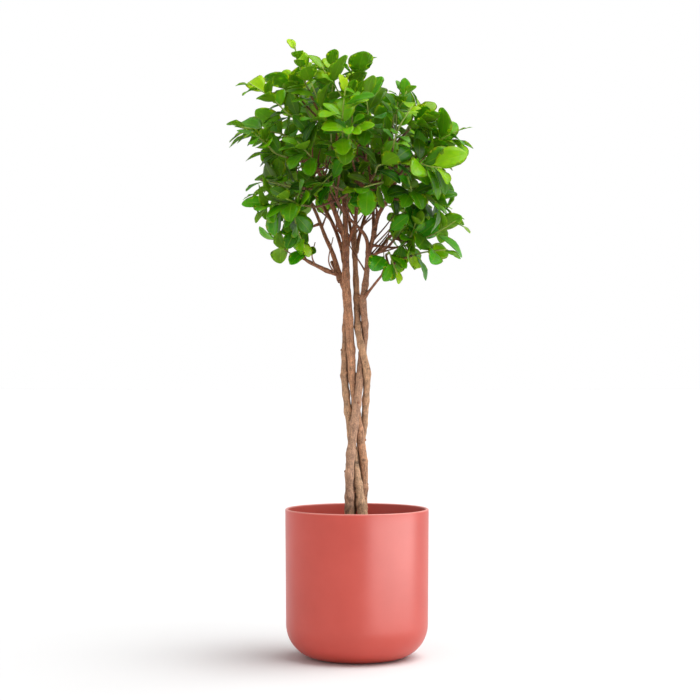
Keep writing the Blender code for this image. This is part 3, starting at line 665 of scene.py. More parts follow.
# %% Twigs and shoots
TWIG_RADII = (0.00184, 0.0016)
SHOOT_RADII = (0.0013, 0.0010)
ROUTE_SEED = 7000
ROUTE_STRIDE = 100
ROUTE_TRIES = 24
PARENT_TRIES = 3
LOOSEST_WAY = 0.25
LOOSEST_TRY = 12
TWIG_BEND = 0.45
SHOOT_BEND = 0.30
SHOOT_SWAY = 0.05
SHOOT_PEEK = 0.2

Grown = namedtuple("Grown", "number stem twig shoot leaves size turn limb where")


def shoot_route(number, attempt, root, start, tip):
    """A woody twig and the green shoot beyond it, which meet square on one straight line."""
    rng = random.Random(ROUTE_SEED + ROUTE_STRIDE * number + attempt)
    loose = LOOSEST_WAY * min(attempt / LOOSEST_TRY, 1.0)
    reach, length = (start - root).length, (tip - start).length
    way = (start - root).normalized() + (tip - start).normalized()
    way += Vector([rng.uniform(-loose, loose) for _ in range(3)])
    way.normalize()
    middle = start - way * TWIG_BEND * reach
    first = start + way * SHOOT_BEND * length
    sway = rng.uniform(-SHOOT_SWAY, SHOOT_SWAY) * length
    second = first.lerp(tip, 0.5) + (tip - first).orthogonal().normalized() * sway
    twig = np.array([root, middle, start])
    shoot = np.array([start + way * REST_GAP, first, second, tip])
    return twig, shoot


def with_radius(points, first, last):
    return np.column_stack([points, np.linspace(first, last, len(points))])


def place_shoots(placed, limbs, shoots):
    """Twigs and green shoots, each on the first route that is clear of everything else."""
    found = []
    for number, (start, tip, count, size, turn) in enumerate(shoots):
        parents = parents_of(limbs, start, (tip - start).normalized())[:PARENT_TRIES]
        for attempt in range(ROUTE_TRIES):
            stem, limb, where, root = parents[attempt % PARENT_TRIES]
            twig, shoot = shoot_route(number, attempt, root, start, tip)
            twig = with_radius(twig, *TWIG_RADII)
            shoot = with_radius(shoot, *SHOOT_RADII)
            owner = "shoot_%02d" % number
            beyond = shoot.copy()
            beyond[0, :3] += (shoot[1, :3] - shoot[0, :3]) * SHOOT_PEEK
            twig_tree = tube_tree(twig, grow=CLEARANCE)
            shoot_tree = tube_tree(beyond, grow=CLEARANCE)
            clear = placed.clear(twig_tree, *ball_round(twig), stem)
            clear = clear and placed.clear(shoot_tree, *ball_round(shoot), owner)
            clear = clear and not twig_tree.overlap(shoot_tree)
            if clear:
                add_to_placed(placed, twig, stem)
                add_to_placed(placed, shoot, owner)
                found.append(Grown(number, stem, twig, shoot, count, size, turn, limb, where))
                break
        else:
            print("no clear route for shoot", number)
    return found

placed = Placed()
for name in STEMS:
    add_to_placed(placed, routes[name], name)
    for limb in limbs[name]:
        add_to_placed(placed, limb, name)
grown = place_shoots(placed, limbs, shoots)
print("shoots with a free way", len(grown))

# %% [markdown]
# ## How the leaves sit
#
# Leaves leave a shoot one at a time, each a golden angle further round. They lean out from the
# crown, turn their upper side to the light, droop along their length and fold a little along the
# midrib. The same few numbers that set a leaf here set its solid, and the last print shows how
# closely the two agree.

# %% Numbers that set a leaf
LEAF_THICKNESS = 0.0008
LEAF_SEED = 10007
LEAF_STRIDE = 101
LEAF_TRIES = 16
LEAF_WIDTH = 0.58
LEAF_SCALE = 1.18
LEAF_REACH = 0.65
FIRST_LEAF = 0.10
LAST_LEAF = 0.985
END_LEAF = 0.62
LEAN_LOW = math.radians(66)
LEAN_TURN = math.radians(26)
LEAN_END = math.radians(18)
GOLDEN_ANGLE = math.radians(137.5)
# How far a leaf's azimuth may stray in radians, and how much further at each new try.
STRAY = 0.25
STRAY_STEP = 0.10
# How strongly a leaf turns away from the crown's middle, and how its face turns to the light.
OUT_RISE = 0.5
PULL_OUT = 0.42
PULL_DOWN = 0.12
PULL_END = 1.1
FACE_UP = 0.80
FACE_OUT = 0.55
FACE_AHEAD = 0.30
FACE_STRAY = 0.22
FACE_STRAY_STEP = 0.05
LEAST_UP = 0.2
# The leaves in the middle of a shoot are the largest.
YOUNG_SHARE = 0.80
FULL_SHARE = 0.25
SIZE_RANGE = (0.88, 1.06)
SIZE_STEP = 0.015
BEND_RANGE = (0.25, 0.95)
FOLD_RANGE = (0.10, 0.38)
LARGE_LEAF = 0.068
# Distance along the blade, half width there and how much of the fold shows, as shares.
LARGE_OUTLINE = (
    (0.0, 0.0, 0.0), (0.32, 0.80, 0.4), (0.60, 1.0, 1.0), (0.88, 0.66, 0.4), (1.0, 0.0, 0.0))
SMALL_OUTLINE = ((0.0, 0.0, 0.0), (0.45, 1.0, 1.0), (0.84, 0.74, 0.4), (1.0, 0.0, 0.0))
STALK_SHARE = 0.14

print("leaves are", LEAF_WIDTH, "times as wide as long")

# %% Setting a leaf
Pose = namedtuple("Pose", "matrix length bend fold")


def leaf_places(shoot, count, turn):
    """Where each leaf of a shoot is rooted: point, the shoot's way, share along it and azimuth."""
    points = [Vector(p) for p in shoot]
    steps = [(b - a).length for a, b in zip(points, points[1:])]
    total = sum(steps)
    found = []
    for k in range(count):
        share = FIRST_LEAF + (1.0 - FIRST_LEAF) * k / (count - 1)
        left = share * total * LAST_LEAF
        for a, b, step in zip(points, points[1:], steps):
            if left <= step:
                break
            left -= step
        point = a.lerp(b, min(left / step, 1.0))
        found.append((point, (b - a).normalized(), share, math.radians(turn) + k * GOLDEN_ANGLE))
    return found


def leaf_pose(number, index, attempt, place, count, size):
    """One way of setting a leaf: its matrix, length, bend and fold. Later attempts stray further."""
    rng = random.Random(LEAF_SEED * number + LEAF_STRIDE * index + attempt)
    point, way, share, azimuth = place
    stray = STRAY + STRAY_STEP * attempt
    azimuth += rng.uniform(-1, 1) * stray
    last = index == count - 1
    lean = (LEAN_END if last else LEAN_LOW - LEAN_TURN * share) + rng.uniform(-0.5, 0.5) * stray
    side = way.orthogonal().normalized()
    radial = Matrix.Rotation(azimuth, 3, way) @ side
    outward = point - CROWN_AXIS - Vector((0, 0, CROWN_CENTRE_Z))
    outward.z *= OUT_RISE
    outward.normalize()
    ahead = way * math.cos(lean) + radial * math.sin(lean)
    ahead += (outward * PULL_OUT - Vector((0, 0, PULL_DOWN))) * (PULL_END - share)
    ahead.normalize()
    up = Vector((0, 0, FACE_UP)) + outward * FACE_OUT + way * FACE_AHEAD
    up += Vector([rng.uniform(-1, 1) for _ in range(3)]) * (FACE_STRAY + FACE_STRAY_STEP * attempt)
    up = up - ahead * up.dot(ahead)
    if up.length < LEAST_UP:
        up = side - ahead * side.dot(ahead)
    up.normalize()
    across = ahead.cross(up)
    matrix = Matrix((across, ahead, up)).transposed().to_4x4()
    matrix.translation = point
    young = END_LEAF if last else min(1.0, YOUNG_SHARE + FULL_SHARE * math.sin(math.pi * share))
    length = size * MM * LEAF_SCALE * young * rng.uniform(*SIZE_RANGE) * (1 - SIZE_STEP * attempt)
    return Pose(matrix, length, rng.uniform(*BEND_RANGE), rng.uniform(*FOLD_RANGE))


print("the first shoot has", len(leaf_places(grown[0].shoot[:, :3], grown[0].leaves, 0)), "leaf places")

# %% A plain blade to test room with
SAME_PLACE = 1e-7
SAME_DIGITS = 7
LEAST_TURN = 1e-6


def blade(length, thickness, grow, start, bend, fold, outline):
    """A leaf blade as a closed bmesh: root at the origin, length along +Y, upper face towards +Z."""
    rows = len(outline) - 1
    shape = bmesh.new()
    bmesh.ops.create_grid(shape, x_segments=1, y_segments=rows, size=1)
    half = LEAF_WIDTH * length / 2
    shown = {}
    for vert in shape.verts:
        along, width, shows = outline[round((vert.co.y + 1) / 2 * rows)]
        along = max(along, start)
        reach = width * half + grow * (width > 0)
        vert.co = (round(vert.co.x) * reach, along * (length + grow), 0)
        shown[round(vert.co.y, SAME_DIGITS)] = shows
    bmesh.ops.remove_doubles(shape, verts=shape.verts, dist=SAME_PLACE)
    level = [e for e in shape.edges if abs(e.verts[0].co.y - e.verts[1].co.y) < SAME_PLACE]
    widest = max(level, key=lambda e: e.calc_length())
    bmesh.ops.subdivide_edges(shape, edges=[widest], cuts=1)
    bmesh.ops.triangulate(shape, faces=shape.faces)
    for vert in shape.verts:
        across, way = vert.co.x, vert.co.y
        turn = max(bend * way / (length + grow), LEAST_TURN)
        ahead = way * math.sin(turn) / turn
        drop = way * (1 - math.cos(turn)) / turn
        rise = abs(across) * math.sin(fold) * shown[round(way, SAME_DIGITS)]
        vert.co = (across * math.cos(fold), ahead + rise * math.sin(turn), rise * math.cos(turn) - drop)
    shape.normal_update()
    for vert in shape.verts:
        vert.co -= vert.normal * thickness / 2
    bmesh.ops.solidify(shape, geom=shape.faces[:], thickness=-thickness)
    bmesh.ops.recalc_face_normals(shape, faces=shape.faces)
    return shape


def leaf_tree(pose, clearance, start):
    """A test tree of the leaf, grown by the clearance and starting this far along it."""
    outline = LARGE_OUTLINE if pose.length > LARGE_LEAF else SMALL_OUTLINE
    thickness = LEAF_THICKNESS + 2 * clearance
    shape = blade(pose.length, thickness, clearance, start, pose.bend, pose.fold, outline)
    shape.transform(pose.matrix)
    tree = BVHTree.FromBMesh(shape)
    shape.free()
    return tree


flat_blade = blade(1.0, LEAF_THICKNESS, 0.0, 0.0, LEAST_TURN, 0.0, LARGE_OUTLINE)
print("a large test blade has", len(flat_blade.faces), "faces")
flat_blade.free()

# %% Every leaf of the solids
def tip_of(pose):
    ahead, drop = math.sin(pose.bend), math.cos(pose.bend) - 1
    return pose.matrix @ Vector((0, pose.length * ahead / pose.bend, pose.length * drop / pose.bend))


def fitted_leaf(number, index, place, count, size, owner, tries, allowed=None):
    """The first way that a leaf of this root fits, which then stands, in a list, or an empty list."""
    for attempt in range(tries):
        pose = leaf_pose(number, index, attempt, place, count, size)
        centre, reach = pose.matrix @ Vector((0, pose.length / 2, 0)), pose.length * LEAF_REACH
        if allowed and not allowed(centre, tip_of(pose)):
            continue
        whole, blade_only = (leaf_tree(pose, CLEARANCE, start) for start in (0.0, STALK_SHARE))
        if placed.clear(whole, centre, reach, owner, blade_only):
            whole, blade_only = (leaf_tree(pose, 0.0, start) for start in (0.0, STALK_SHARE))
            placed.add(whole, centre, reach, owner, blade_only)
            return [pose]
    return []


def place_leaves(grown):
    """Leaves taken in turn from every shoot, so that no shoot claims the room first."""
    found = {row.number: [] for row in grown}
    for index in range(max(row.leaves for row in grown)):
        for row in grown:
            if index < row.leaves:
                here = row.leaves - 1 - index
                place = leaf_places(row.shoot[:, :3], row.leaves, row.turn)[here]
                found[row.number] += fitted_leaf(row.number, here, place, row.leaves, row.size,
                                                 "shoot_%02d" % row.number, LEAF_TRIES)
    standing = sum(len(poses) for poses in found.values())
    print("leaves", standing, "left out", sum(row.leaves for row in grown) - standing)
    return found

leaves = place_leaves(grown)

# %% How closely the leaves meet the solids
def worst_gap():
    """The largest distance from a leaf's tip to the solid of its spray, in millimetres."""
    worst = 0.0
    for number, poses in leaves.items():
        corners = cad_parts["spray_%02d" % (number + 1)].data.vertices
        finder = KDTree(len(corners))
        for i, corner in enumerate(corners):
            finder.insert(corner.co, i)
        finder.balance()
        worst = max([worst] + [finder.find(tip_of(pose))[2] for pose in poses])
    return worst / MM


print("largest gap from a leaf tip to its solid", round(worst_gap(), 2), "mm")

# %% [markdown]
# The solids hold as many leaves as they can afford. The real head is denser: between two full
# leaves there is often a smaller one. The dressed plant adds those wherever a leaf still fits
# without touching another. Low in the middle no leaf grows, because the light never gets there,
# and the bare limbs show.

# %% Smaller leaves in between
FILL_TRIES = 10
FILL_SIZE = 0.86
FILL_INDEX = 50
BARE_TOP, BARE_FOOT = 0.695, 0.612
BARE_LEFT, BARE_RIGHT, BARE_FOOT_RIGHT = -0.078, 0.060, 0.020
BARE_SKIRT = 0.115
SKIRT_TOP = 0.660


def in_bare_middle(point):
    right = BARE_RIGHT if point.z > BARE_FOOT else BARE_FOOT_RIGHT
    return point.z < BARE_TOP and BARE_LEFT < point.x < right


def beyond_the_head(point):
    return point.z < SKIRT_TOP and abs(point.x - CROWN_AXIS.x) > BARE_SKIRT


def may_stand(centre, tip):
    return not (in_bare_middle(centre) or in_bare_middle(tip) or beyond_the_head(tip))


def small_leaf(number, index, place, size, owner):
    return fitted_leaf(number, index, place, 0, size, owner, FILL_TRIES, may_stand)


def filling_leaves():
    """Leaves between those of the solids, on every shoot."""
    found = []
    for row in grown:
        places = leaf_places(row.shoot[:, :3], 2 * row.leaves - 1, row.turn)
        for k in range(1, len(places), 2):
            found += small_leaf(row.number, FILL_INDEX + k, places[k], row.size * FILL_SIZE,
                                "shoot_%02d" % row.number)
    return found


extra = filling_leaves()
print("smaller leaves", len(extra))

# %% [markdown]
# The limbs bear thin woody twigs too, bare at first and leafy at their ends. They fan out and
# turn up, fill the middle of the head and show below it as a bundle of reddish lines. Nobody can
# tell one from the next there, so chance spreads them, and the same test finds each of them room.

# %% Cut each limb off at its last twig
FORK_REACH = 0.014


def trimmed_limbs(limbs, grown):
    """Each limb cut off where its last twig or side limb grows, and dropped if it bears neither."""
    kept = {}
    for name, routes in limbs.items():
        kept[name] = []
        for number, route in enumerate(routes):
            marks = [row.where for row in grown if row.stem == name and row.limb == number]
            for other in routes:
                gaps = np.linalg.norm(route[:, :3] - other[0, :3], axis=1)
                if other is not route and gaps.min() < FORK_REACH:
                    marks.append(min(gaps.argmin() + 1, len(route) - 1))
            if marks:
                end = max(marks)
                kept[name].append(np.vstack([route[: int(np.ceil(end))], point_on(route, end)]))
    return kept


kept_limbs = trimmed_limbs(limbs, grown)
print("limbs kept", sum(len(rows) for rows in kept_limbs.values()))

# %% Twigs inside the head
INNER_SEED = 5
INNER_NUMBER = 200
INNER_STEP = 0.45
INNER_TRIES = 8
INNER_LENGTH = (0.045, 0.095)
INNER_RADII = (0.0013, 0.0007)
INNER_LEAVES = 3
INNER_LEAF = 44
BARE_SHARE = 0.5
INNER_LOWEST = 0.585
LEAFY_FROM = 0.55
# How much of each half of a twig follows its limb, leaves it sideways and turns up.
FIRST_HALF, SECOND_HALF = (0.8, 0.6, 0.0), (0.6, 0.7, 0.4)


def half_way(along, sideways, shares, reach):
    follow, leave, rise = shares
    return (along * follow + sideways * leave + Vector((0, 0, rise))).normalized() * reach * 0.5


def free_inner_twig(rng, stem, root, along):
    """The first free twig from this root, and the turn of its first leaf, or nothing."""
    for _ in range(INNER_TRIES):
        turn = rng.uniform(0, 2 * math.pi)
        sideways = Vector((math.cos(turn), math.sin(turn), 0))
        reach = rng.uniform(*INNER_LENGTH)
        middle = root + half_way(along, sideways, FIRST_HALF, reach)
        end = middle + half_way(along, sideways, SECOND_HALF, reach)
        twig = with_radius(np.array([root, middle, end]), *INNER_RADII)
        if beyond_the_head(end):
            continue
        if placed.clear(tube_tree(twig, grow=CLEARANCE), *ball_round(twig), stem):
            return twig, end, turn
    return None


def inner_twigs():
    """Twigs on every limb with the stem that bears each, and the leaves at their ends."""
    rng = random.Random(INNER_SEED)
    twigs, poses = [], []
    for stem, limb in [(stem, limb) for stem, rows in kept_limbs.items() for limb in rows]:
        for where in np.arange(1.0, len(limb) - 1, INNER_STEP):
            root = Vector(point_on(limb, where)[:3])
            if root.z < INNER_LOWEST or (in_bare_middle(root) and rng.random() < BARE_SHARE):
                continue
            along = (Vector(limb[int(where) + 1, :3]) - root).normalized()
            free = free_inner_twig(rng, stem, root, along)
            if free:
                twig, end, turn = free
                owner = "inner_%d" % len(twigs)
                add_to_placed(placed, twig, owner)
                twigs.append((stem, twig))
                leafy = [Vector(p) for p in (point_on(twig[:, :3], 2 * LEAFY_FROM), end)]
                for k, place in enumerate(leaf_places(leafy, INNER_LEAVES, math.degrees(turn))):
                    poses += small_leaf(INNER_NUMBER + len(twigs), k, place, INNER_LEAF, owner)
    return twigs, poses


inner, inner_leaves = inner_twigs()
print("inner twigs", len(inner), "with leaves", len(inner_leaves))

# %% [markdown]
# ## Bark
#
# Ficus bark is tan and corky on the old braid, reddish brown on the limbs and olive on the twigs.
# Rings mark where leaves once stood, and knots where twigs were cut off to bare the braid. A tube
# swept along each route gives the round stem, and the tree swells it at the rings and roughens it.
# A colour painted by hand would slide on the curved stems, so the age of the wood is carried along
# the route as a number, and so is a tone that sets each stem off from its neighbours.

# %% A tree that sweeps bark along a route
BARK_SIDES = 14
BARK_STEP = 0.0022

stem_tree, given = new_tree("swept_stem", {
    "Sides": "Int", "Step": "Float", "Ring height": "Float", "Lump height": "Float",
    "Surface": "Material"})
fact = {name: add(stem_tree, "GeometryNodeInputNamedAttribute", {"Name": name}, data_type="FLOAT")
        for name in ("thick", "along", "ring_gap")}
line = add(stem_tree, "GeometryNodeMeshToCurve", {"Mesh": given["Geometry"]})
sized = add(stem_tree, "GeometryNodeSetCurveRadius", {"Curve": line, "Radius": fact["thick"]})
even = add(stem_tree, "GeometryNodeResampleCurve", {"Curve": sized, "Length": given["Step"]},
           mode="LENGTH")
measure = add(stem_tree, "GeometryNodeSplineParameter")
marked = add(stem_tree, "GeometryNodeStoreNamedAttribute",
             {"Geometry": even, "Name": "along", "Value": measure.outputs["Length"]})
ring = add(stem_tree, "GeometryNodeCurvePrimitiveCircle", {"Resolution": given["Sides"], "Radius": 1.0})
tube = add(stem_tree, "GeometryNodeCurveToMesh",
           {"Curve": marked, "Profile Curve": ring, "Scale": fact["thick"], "Fill Caps": True})
print("tube of", BARK_SIDES, "sides, with a ring of corners every", BARK_STEP / MM, "mm")

# %% Rings and lumps, worked out as numbers and pushed outwards
# Width in millimetres and detail of the slow drift of the rings, of the lumps, and of the patches
# where rings show.
RING_DRIFT, LUMPS, RING_PATCHES = (55.6, 1.0), (10.5, 3.0), (38.5, 2.0)
RINGS_SHOWN = (0.42, 0.62)
RING_POWER = 18.0
RING_WARP = 3.4
TURN = 2 * math.pi

here = add(stem_tree, "GeometryNodeInputPosition")
slow, lumps, broken = [
    add(stem_tree, "ShaderNodeTexNoise", zip(NOISE, (here, marks_of(width), detail)))
    for width, detail in (RING_DRIFT, LUMPS, RING_PATCHES)]
shown = add(stem_tree, "ShaderNodeMapRange", zip(RANGE, (broken, *RINGS_SHOWN)))
numbers = formula(stem_tree, {
    **fact, "slow": slow, "lumps": lumps, "shown": shown, "ring height": given["Ring height"],
    "lump height": given["Lump height"]}, (
    ("count", "DIVIDE", "along", "ring_gap"),
    ("warped", "MULTIPLY_ADD", "slow", RING_WARP, "count"),
    ("angle", "MULTIPLY", "warped", TURN),
    ("wave", "COSINE", "angle"),
    ("crest", "MAXIMUM", "wave", 0.0),
    ("full pulse", "POWER", "crest", RING_POWER),
    ("pulse", "MULTIPLY", "full pulse", "shown"),
    ("swell", "MULTIPLY", "pulse", "ring height"),
    ("centred", "SUBTRACT", "lumps", 0.5),
    ("lumpy", "MULTIPLY_ADD", "centred", "lump height", "swell"),
    ("push", "MULTIPLY", "lumpy", "thick"),
))
outwards = add(stem_tree, "GeometryNodeInputNormal")
move = add(stem_tree, "ShaderNodeVectorMath", {0: outwards, 3: numbers["push"]}, operation="SCALE")
ringed = add(stem_tree, "GeometryNodeStoreNamedAttribute",
             {"Geometry": tube, "Name": "ring", "Value": numbers["pulse"]})
moved = add(stem_tree, "GeometryNodeSetPosition", {"Geometry": ringed, "Offset": move})
smooth = add(stem_tree, "GeometryNodeSetShadeSmooth", {"Geometry": moved})
end_tree(stem_tree, smooth, given["Surface"])

# %% [markdown]
# Fig bark has no deep cracks. What the eye meets is a dull tan skin with darker rings, small pale
# corky dots that let the stem breathe, fine streaks along it, and dark scars where leaf stalks
# broke off. Painted shade darkens the crevices where the stems press together. A picture of bark
# would stretch and repeat on stems as thin as these, so noises and cells draw it, and the streaks
# are a noise drawn out along the stem.

# %% Colours and sizes of fig bark
# Colours along the age of the wood, from the old braid to the green tips, and the casts that set
# the stems off from one another.
WOOD_AGES = ((0.0, "ECCEB0"), (0.3, "E6C0A0"), (0.55, "B07A5A"), (0.82, "926248"), (1.0, "7C7A36"))
STEM_CASTS = ((0.0, "F8D2BC"), (0.5, "FFF0DE"), (1.0, "ECD6CE"))
PALE_DOT, DOT_SHARE = "D6BE93", 0.35
# Width in millimetres, detail and roughness of each noise. The streaks are drawn out along the
# stem. Specks and dots are finer on the plant, and as coarse here as they need to be to show.
STREAKS, PATCHES, SPECKS = (2.38, 6.0, 0.65), (7.14, 6.0, 0.7), (1.111, 3.0, 0.7)
STREAK_STRETCH, SCAR_STRETCH = (1.0, 1.0, 0.18), (1.0, 1.0, 1.7)
DOT_STEP, DOT_SEEN = 3.03, (0.14, 0.28, 1.0, 0.0)
SCAR_STEP, SCAR_SEEN, SCAR_SHARE = 26.3, (0.10, 0.20, 1.0, 0.0), 0.36
# How far in metres the painted shade of the crevices reaches, and how many rays find it.
CREVICE_REACH, CREVICE_SAMPLES = 0.006, 6
# Between which values of a pattern the bark changes, and how light it is at one and the other.
# The crevices hold painted shade.
BARK_SHADES = {
    "streaks": (0.3, 0.7, 0.42, 1.22), "patches": (0.3, 0.7, 0.6, 1.25),
    "specks": (0.36, 0.5, 0.4, 1.0), "ring": (0.0, 1.0, 1.0, 0.5),
    "painted_crevice_shade": (0.35, 0.85, 0.35, 1.0), "scars": (0.0, 1.0, 1.0, 0.42),
}
# Strength and depth in metres of the relief.
STREAK_RELIEF, DOT_RELIEF, SCAR_RELIEF = (0.8, 0.0008), (0.3, 0.0004), (0.6, 0.001)

print("the bark is shaded by", *BARK_SHADES)

# %% Patterns of fig bark
def shade_by(tree, patterns, shades):
    """How light all these patterns together leave a surface."""
    light = 1.0
    for name, row in shades.items():
        shade = add(tree, "ShaderNodeMapRange", zip(RANGE, (patterns[name], *row)))
        light = add(tree, "ShaderNodeMath", {0: light, 1: shade}, operation="MULTIPLY")
    return light


fig_bark, tree, shader, spot = new_surface("fig_bark", {"Roughness": 0.78, "IOR": 1.45})
stretched, flattened = [add(tree, "ShaderNodeMapping", {"Vector": spot, "Scale": by})
                        for by in (STREAK_STRETCH, SCAR_STRETCH)]
patterns = {name: add(tree, "ShaderNodeAttribute", attribute_name=name).outputs["Fac"]
            for name in ("age", "tone", "ring")}
for name, where, (width, *look) in (
        ("streaks", stretched, STREAKS), ("patches", spot, PATCHES), ("specks", spot, SPECKS)):
    patterns[name] = add(tree, "ShaderNodeTexNoise", zip(NOISE, (where, marks_of(width), *look)))
dots = add(tree, "ShaderNodeTexVoronoi", {"Vector": spot, "Scale": marks_of(DOT_STEP)})
dot = add(tree, "ShaderNodeMapRange", zip(RANGE, (dots, *DOT_SEEN)))
cells = add(tree, "ShaderNodeTexVoronoi", {"Vector": flattened, "Scale": marks_of(SCAR_STEP)})
near = add(tree, "ShaderNodeMapRange", zip(RANGE, (cells, *SCAR_SEEN)), interpolation_type="SMOOTHSTEP")
chosen = add(tree, "ShaderNodeMath", {0: cells.outputs["Color"], 1: SCAR_SHARE}, operation="GREATER_THAN")
patterns["scars"] = add(tree, "ShaderNodeMath", {0: near, 1: chosen}, operation="MULTIPLY")
# Painted shade: an ambient occlusion node darkens the bark in the crevices where the stems press
# together.
painted_crevice_shade = add(tree, "ShaderNodeAmbientOcclusion", {"Distance": CREVICE_REACH}, samples=CREVICE_SAMPLES)
patterns["painted_crevice_shade"] = painted_crevice_shade.outputs["AO"]

# %% Bark colour and relief
ages = add(tree, "ShaderNodeValToRGB", {"Fac": patterns["age"]}, WOOD_AGES)
casts = add(tree, "ShaderNodeValToRGB", {"Fac": patterns["tone"]}, STEM_CASTS)
cast = add(tree, "ShaderNodeVectorMath", {0: ages, 1: casts}, operation="MULTIPLY")
light = shade_by(tree, patterns, BARK_SHADES)
toned = add(tree, "ShaderNodeVectorMath", {0: cast, 3: light}, operation="SCALE")
pale = add(tree, "ShaderNodeMath", {0: dot, 1: DOT_SHARE}, operation="MULTIPLY")
dotted = add(tree, "ShaderNodeMix", {"Factor": pale, "A": toned, "B": colour(PALE_DOT)}, data_type="RGBA")
relief = add(tree, "ShaderNodeBump", zip(BUMP, (patterns["streaks"], *STREAK_RELIEF)))
relief = add(tree, "ShaderNodeBump", zip(BUMP, (dot, *DOT_RELIEF, relief)))
relief = add(tree, "ShaderNodeBump", zip(BUMP, (patterns["scars"], *SCAR_RELIEF, relief)), invert=True)
feed(tree, shader, {"Base Color": dotted, "Normal": relief})
print("bark", len(tree.nodes), "nodes")

# %% [markdown]
# Where a limb leaves a stem the wood swells into a collar. Fusing the tubes into one skin would
# blur their rings, so the radius along each side route starts large and falls off within a few
# millimetres, and the rest is hidden in the parent. The braid gets knots the same way, and some
# keep a short stub of the twig that was cut off.

# %% Guides for the wood
COLLAR = 0.55
COLLAR_REACH = 0.005
KNOT_SWELL = 0.20
KNOT_REACH = 0.0055


def lengths_along(points):
    """How far along a route each of its points lies."""
    steps = np.linalg.norm(np.diff(points[:, :3], axis=0), axis=1)
    return np.concatenate([[0.0], np.cumsum(steps)])


class Lines:
    """Many routes gathered into one guide mesh."""

    def __init__(self):
        self.points, self.edges = [], []
        self.facts = {"thick": [], "age": [], "ring_gap": [], "tone": []}

    def add(self, route, spans, ages, ring_gap, tone, sunk=None, knots=()):
        """A route of (x, y, z, radius). sunk is how deep its root sits in what carries it."""
        fine = spline(route, spans)
        along = lengths_along(fine)
        radii = fine[:, 3]
        if sunk is not None:
            radii = radii * (1 + COLLAR * np.exp(-np.maximum(along - sunk, 0) / COLLAR_REACH))
        for knot in knots:
            radii = radii * (1 + KNOT_SWELL * np.exp(-(((along - knot) / KNOT_REACH) ** 2)))
        first = len(self.points)
        self.points += list(fine[:, :3])
        self.edges += [(first + i, first + i + 1) for i in range(len(fine) - 1)]
        self.facts["thick"] += list(radii)
        self.facts["age"] += list(ages[0] + (ages[1] - ages[0]) * along / along[-1])
        self.facts["ring_gap"] += [ring_gap] * len(fine)
        self.facts["tone"] += [tone] * len(fine)

    def swept(self, name, sides, heights, surface):
        """The piece that the stem tree sweeps along all the lines."""
        guide = guide_mesh(name, self.points, self.edges, self.facts)
        return made_by(stem_tree, name, guide, {
            "Sides": sides, "Step": BARK_STEP, "Ring height": heights[0], "Lump height": heights[1],
            "Surface": surface})


print("a collar swells a limb by", COLLAR, "of its radius")

# %% Knots along the braid
KNOT_SEED = 3
KNOT_STEP = (0.026, 0.050)
STUB_SHARE = 0.6
STUB_RISE = (0.2, 0.8)
STUB_OUT = (0.0012, 0.0034)
# How far out each ring of a stub lies, as a share, and its radius.
STUB_ROWS = ((0.0, 0.0030), (0.85, 0.0026), (1.0, 0.0016))


def knots_and_stubs(fine):
    """How far along a stem each knot sits, and the stub of the twig that was cut off there."""
    places, stubs = [], []
    along = lengths_along(fine)
    here = knot_rng.uniform(*KNOT_STEP)
    while here < along[-1]:
        k = int(np.searchsorted(along, here))
        point, radius = Vector(fine[k, :3]), fine[k, 3]
        turn = knot_rng.uniform(0, TURN)
        if point.z > SOIL_TOP:
            places.append(here)
        if point.z > SOIL_TOP + KNOT_REACH and knot_rng.random() < STUB_SHARE:
            way = Vector((math.cos(turn), math.sin(turn), knot_rng.uniform(*STUB_RISE))).normalized()
            out = radius + knot_rng.uniform(*STUB_OUT)
            rows = [(*(point + way * (out * share)), thick) for share, thick in STUB_ROWS]
            stubs.append(np.array(rows))
        here += knot_rng.uniform(*KNOT_STEP)
    return places, stubs


knot_rng = random.Random(KNOT_SEED)
print("a knot every", [step / MM for step in KNOT_STEP], "mm")

# %% Dress the stems
STRAND_SUNK, LIMB_SUNK = 0.006, 0.002
STRAND_RINGS, LIMB_RINGS, TWIG_RINGS = 0.034, 0.019, 0.010
STEM_TONES = {"stem_front_left": 0.12, "stem_back_left": 0.55, "stem_right": 0.92, "stem_back": 0.4}
# How old the wood is at the root and the end of each kind of route: 0 is the braid's foot, 1 green.
STRAND_AGES, STUB_AGES, LIMB_AGES = (0.0, 0.62), (0.2, 0.5), (0.5, 0.72)
TWIG_AGES, INNER_AGES = (0.74, 0.96), (0.66, 0.9)
STRAND_SPANS, STUB_SPANS, LIMB_SPANS, TWIG_SPANS = 5, 3, 8, 6
# How high the rings and the lumps stand, as shares of the radius.
BARK_HEIGHTS = (0.10, 0.34)

for name, route in routes.items():
    wood = Lines()
    tone = STEM_TONES[name]
    strand, *side_limbs = kept_limbs[name]
    whole = np.vstack([route, strand[1:]])
    knots, stubs = knots_and_stubs(spline(whole, STRAND_SPANS))
    wood.add(whole, STRAND_SPANS, STRAND_AGES, STRAND_RINGS, tone, knots=knots)
    for stub in stubs:
        wood.add(stub, STUB_SPANS, STUB_AGES, STRAND_RINGS, tone)
    for limb in side_limbs:
        wood.add(limb, LIMB_SPANS, LIMB_AGES, LIMB_RINGS, tone, STRAND_SUNK)
    for twig in [row.twig for row in grown if row.stem == name]:
        wood.add(twig, TWIG_SPANS, TWIG_AGES, TWIG_RINGS, tone, LIMB_SUNK)
    for twig in [twig for stem, twig in inner if stem == name]:
        wood.add(twig, TWIG_SPANS, INNER_AGES, TWIG_RINGS, tone, LIMB_SUNK)
    keep(wood.swept(name + "_bark", BARK_SIDES, BARK_HEIGHTS, fig_bark), "bark", name)

# %% [markdown]
# ## Green shoots and their buds
#
# This year's wood is still green, thin and slightly shiny, and each shoot ends in a pointed
# sheath that holds the next leaf. Both are one tapering tube, so the same tree sweeps them.

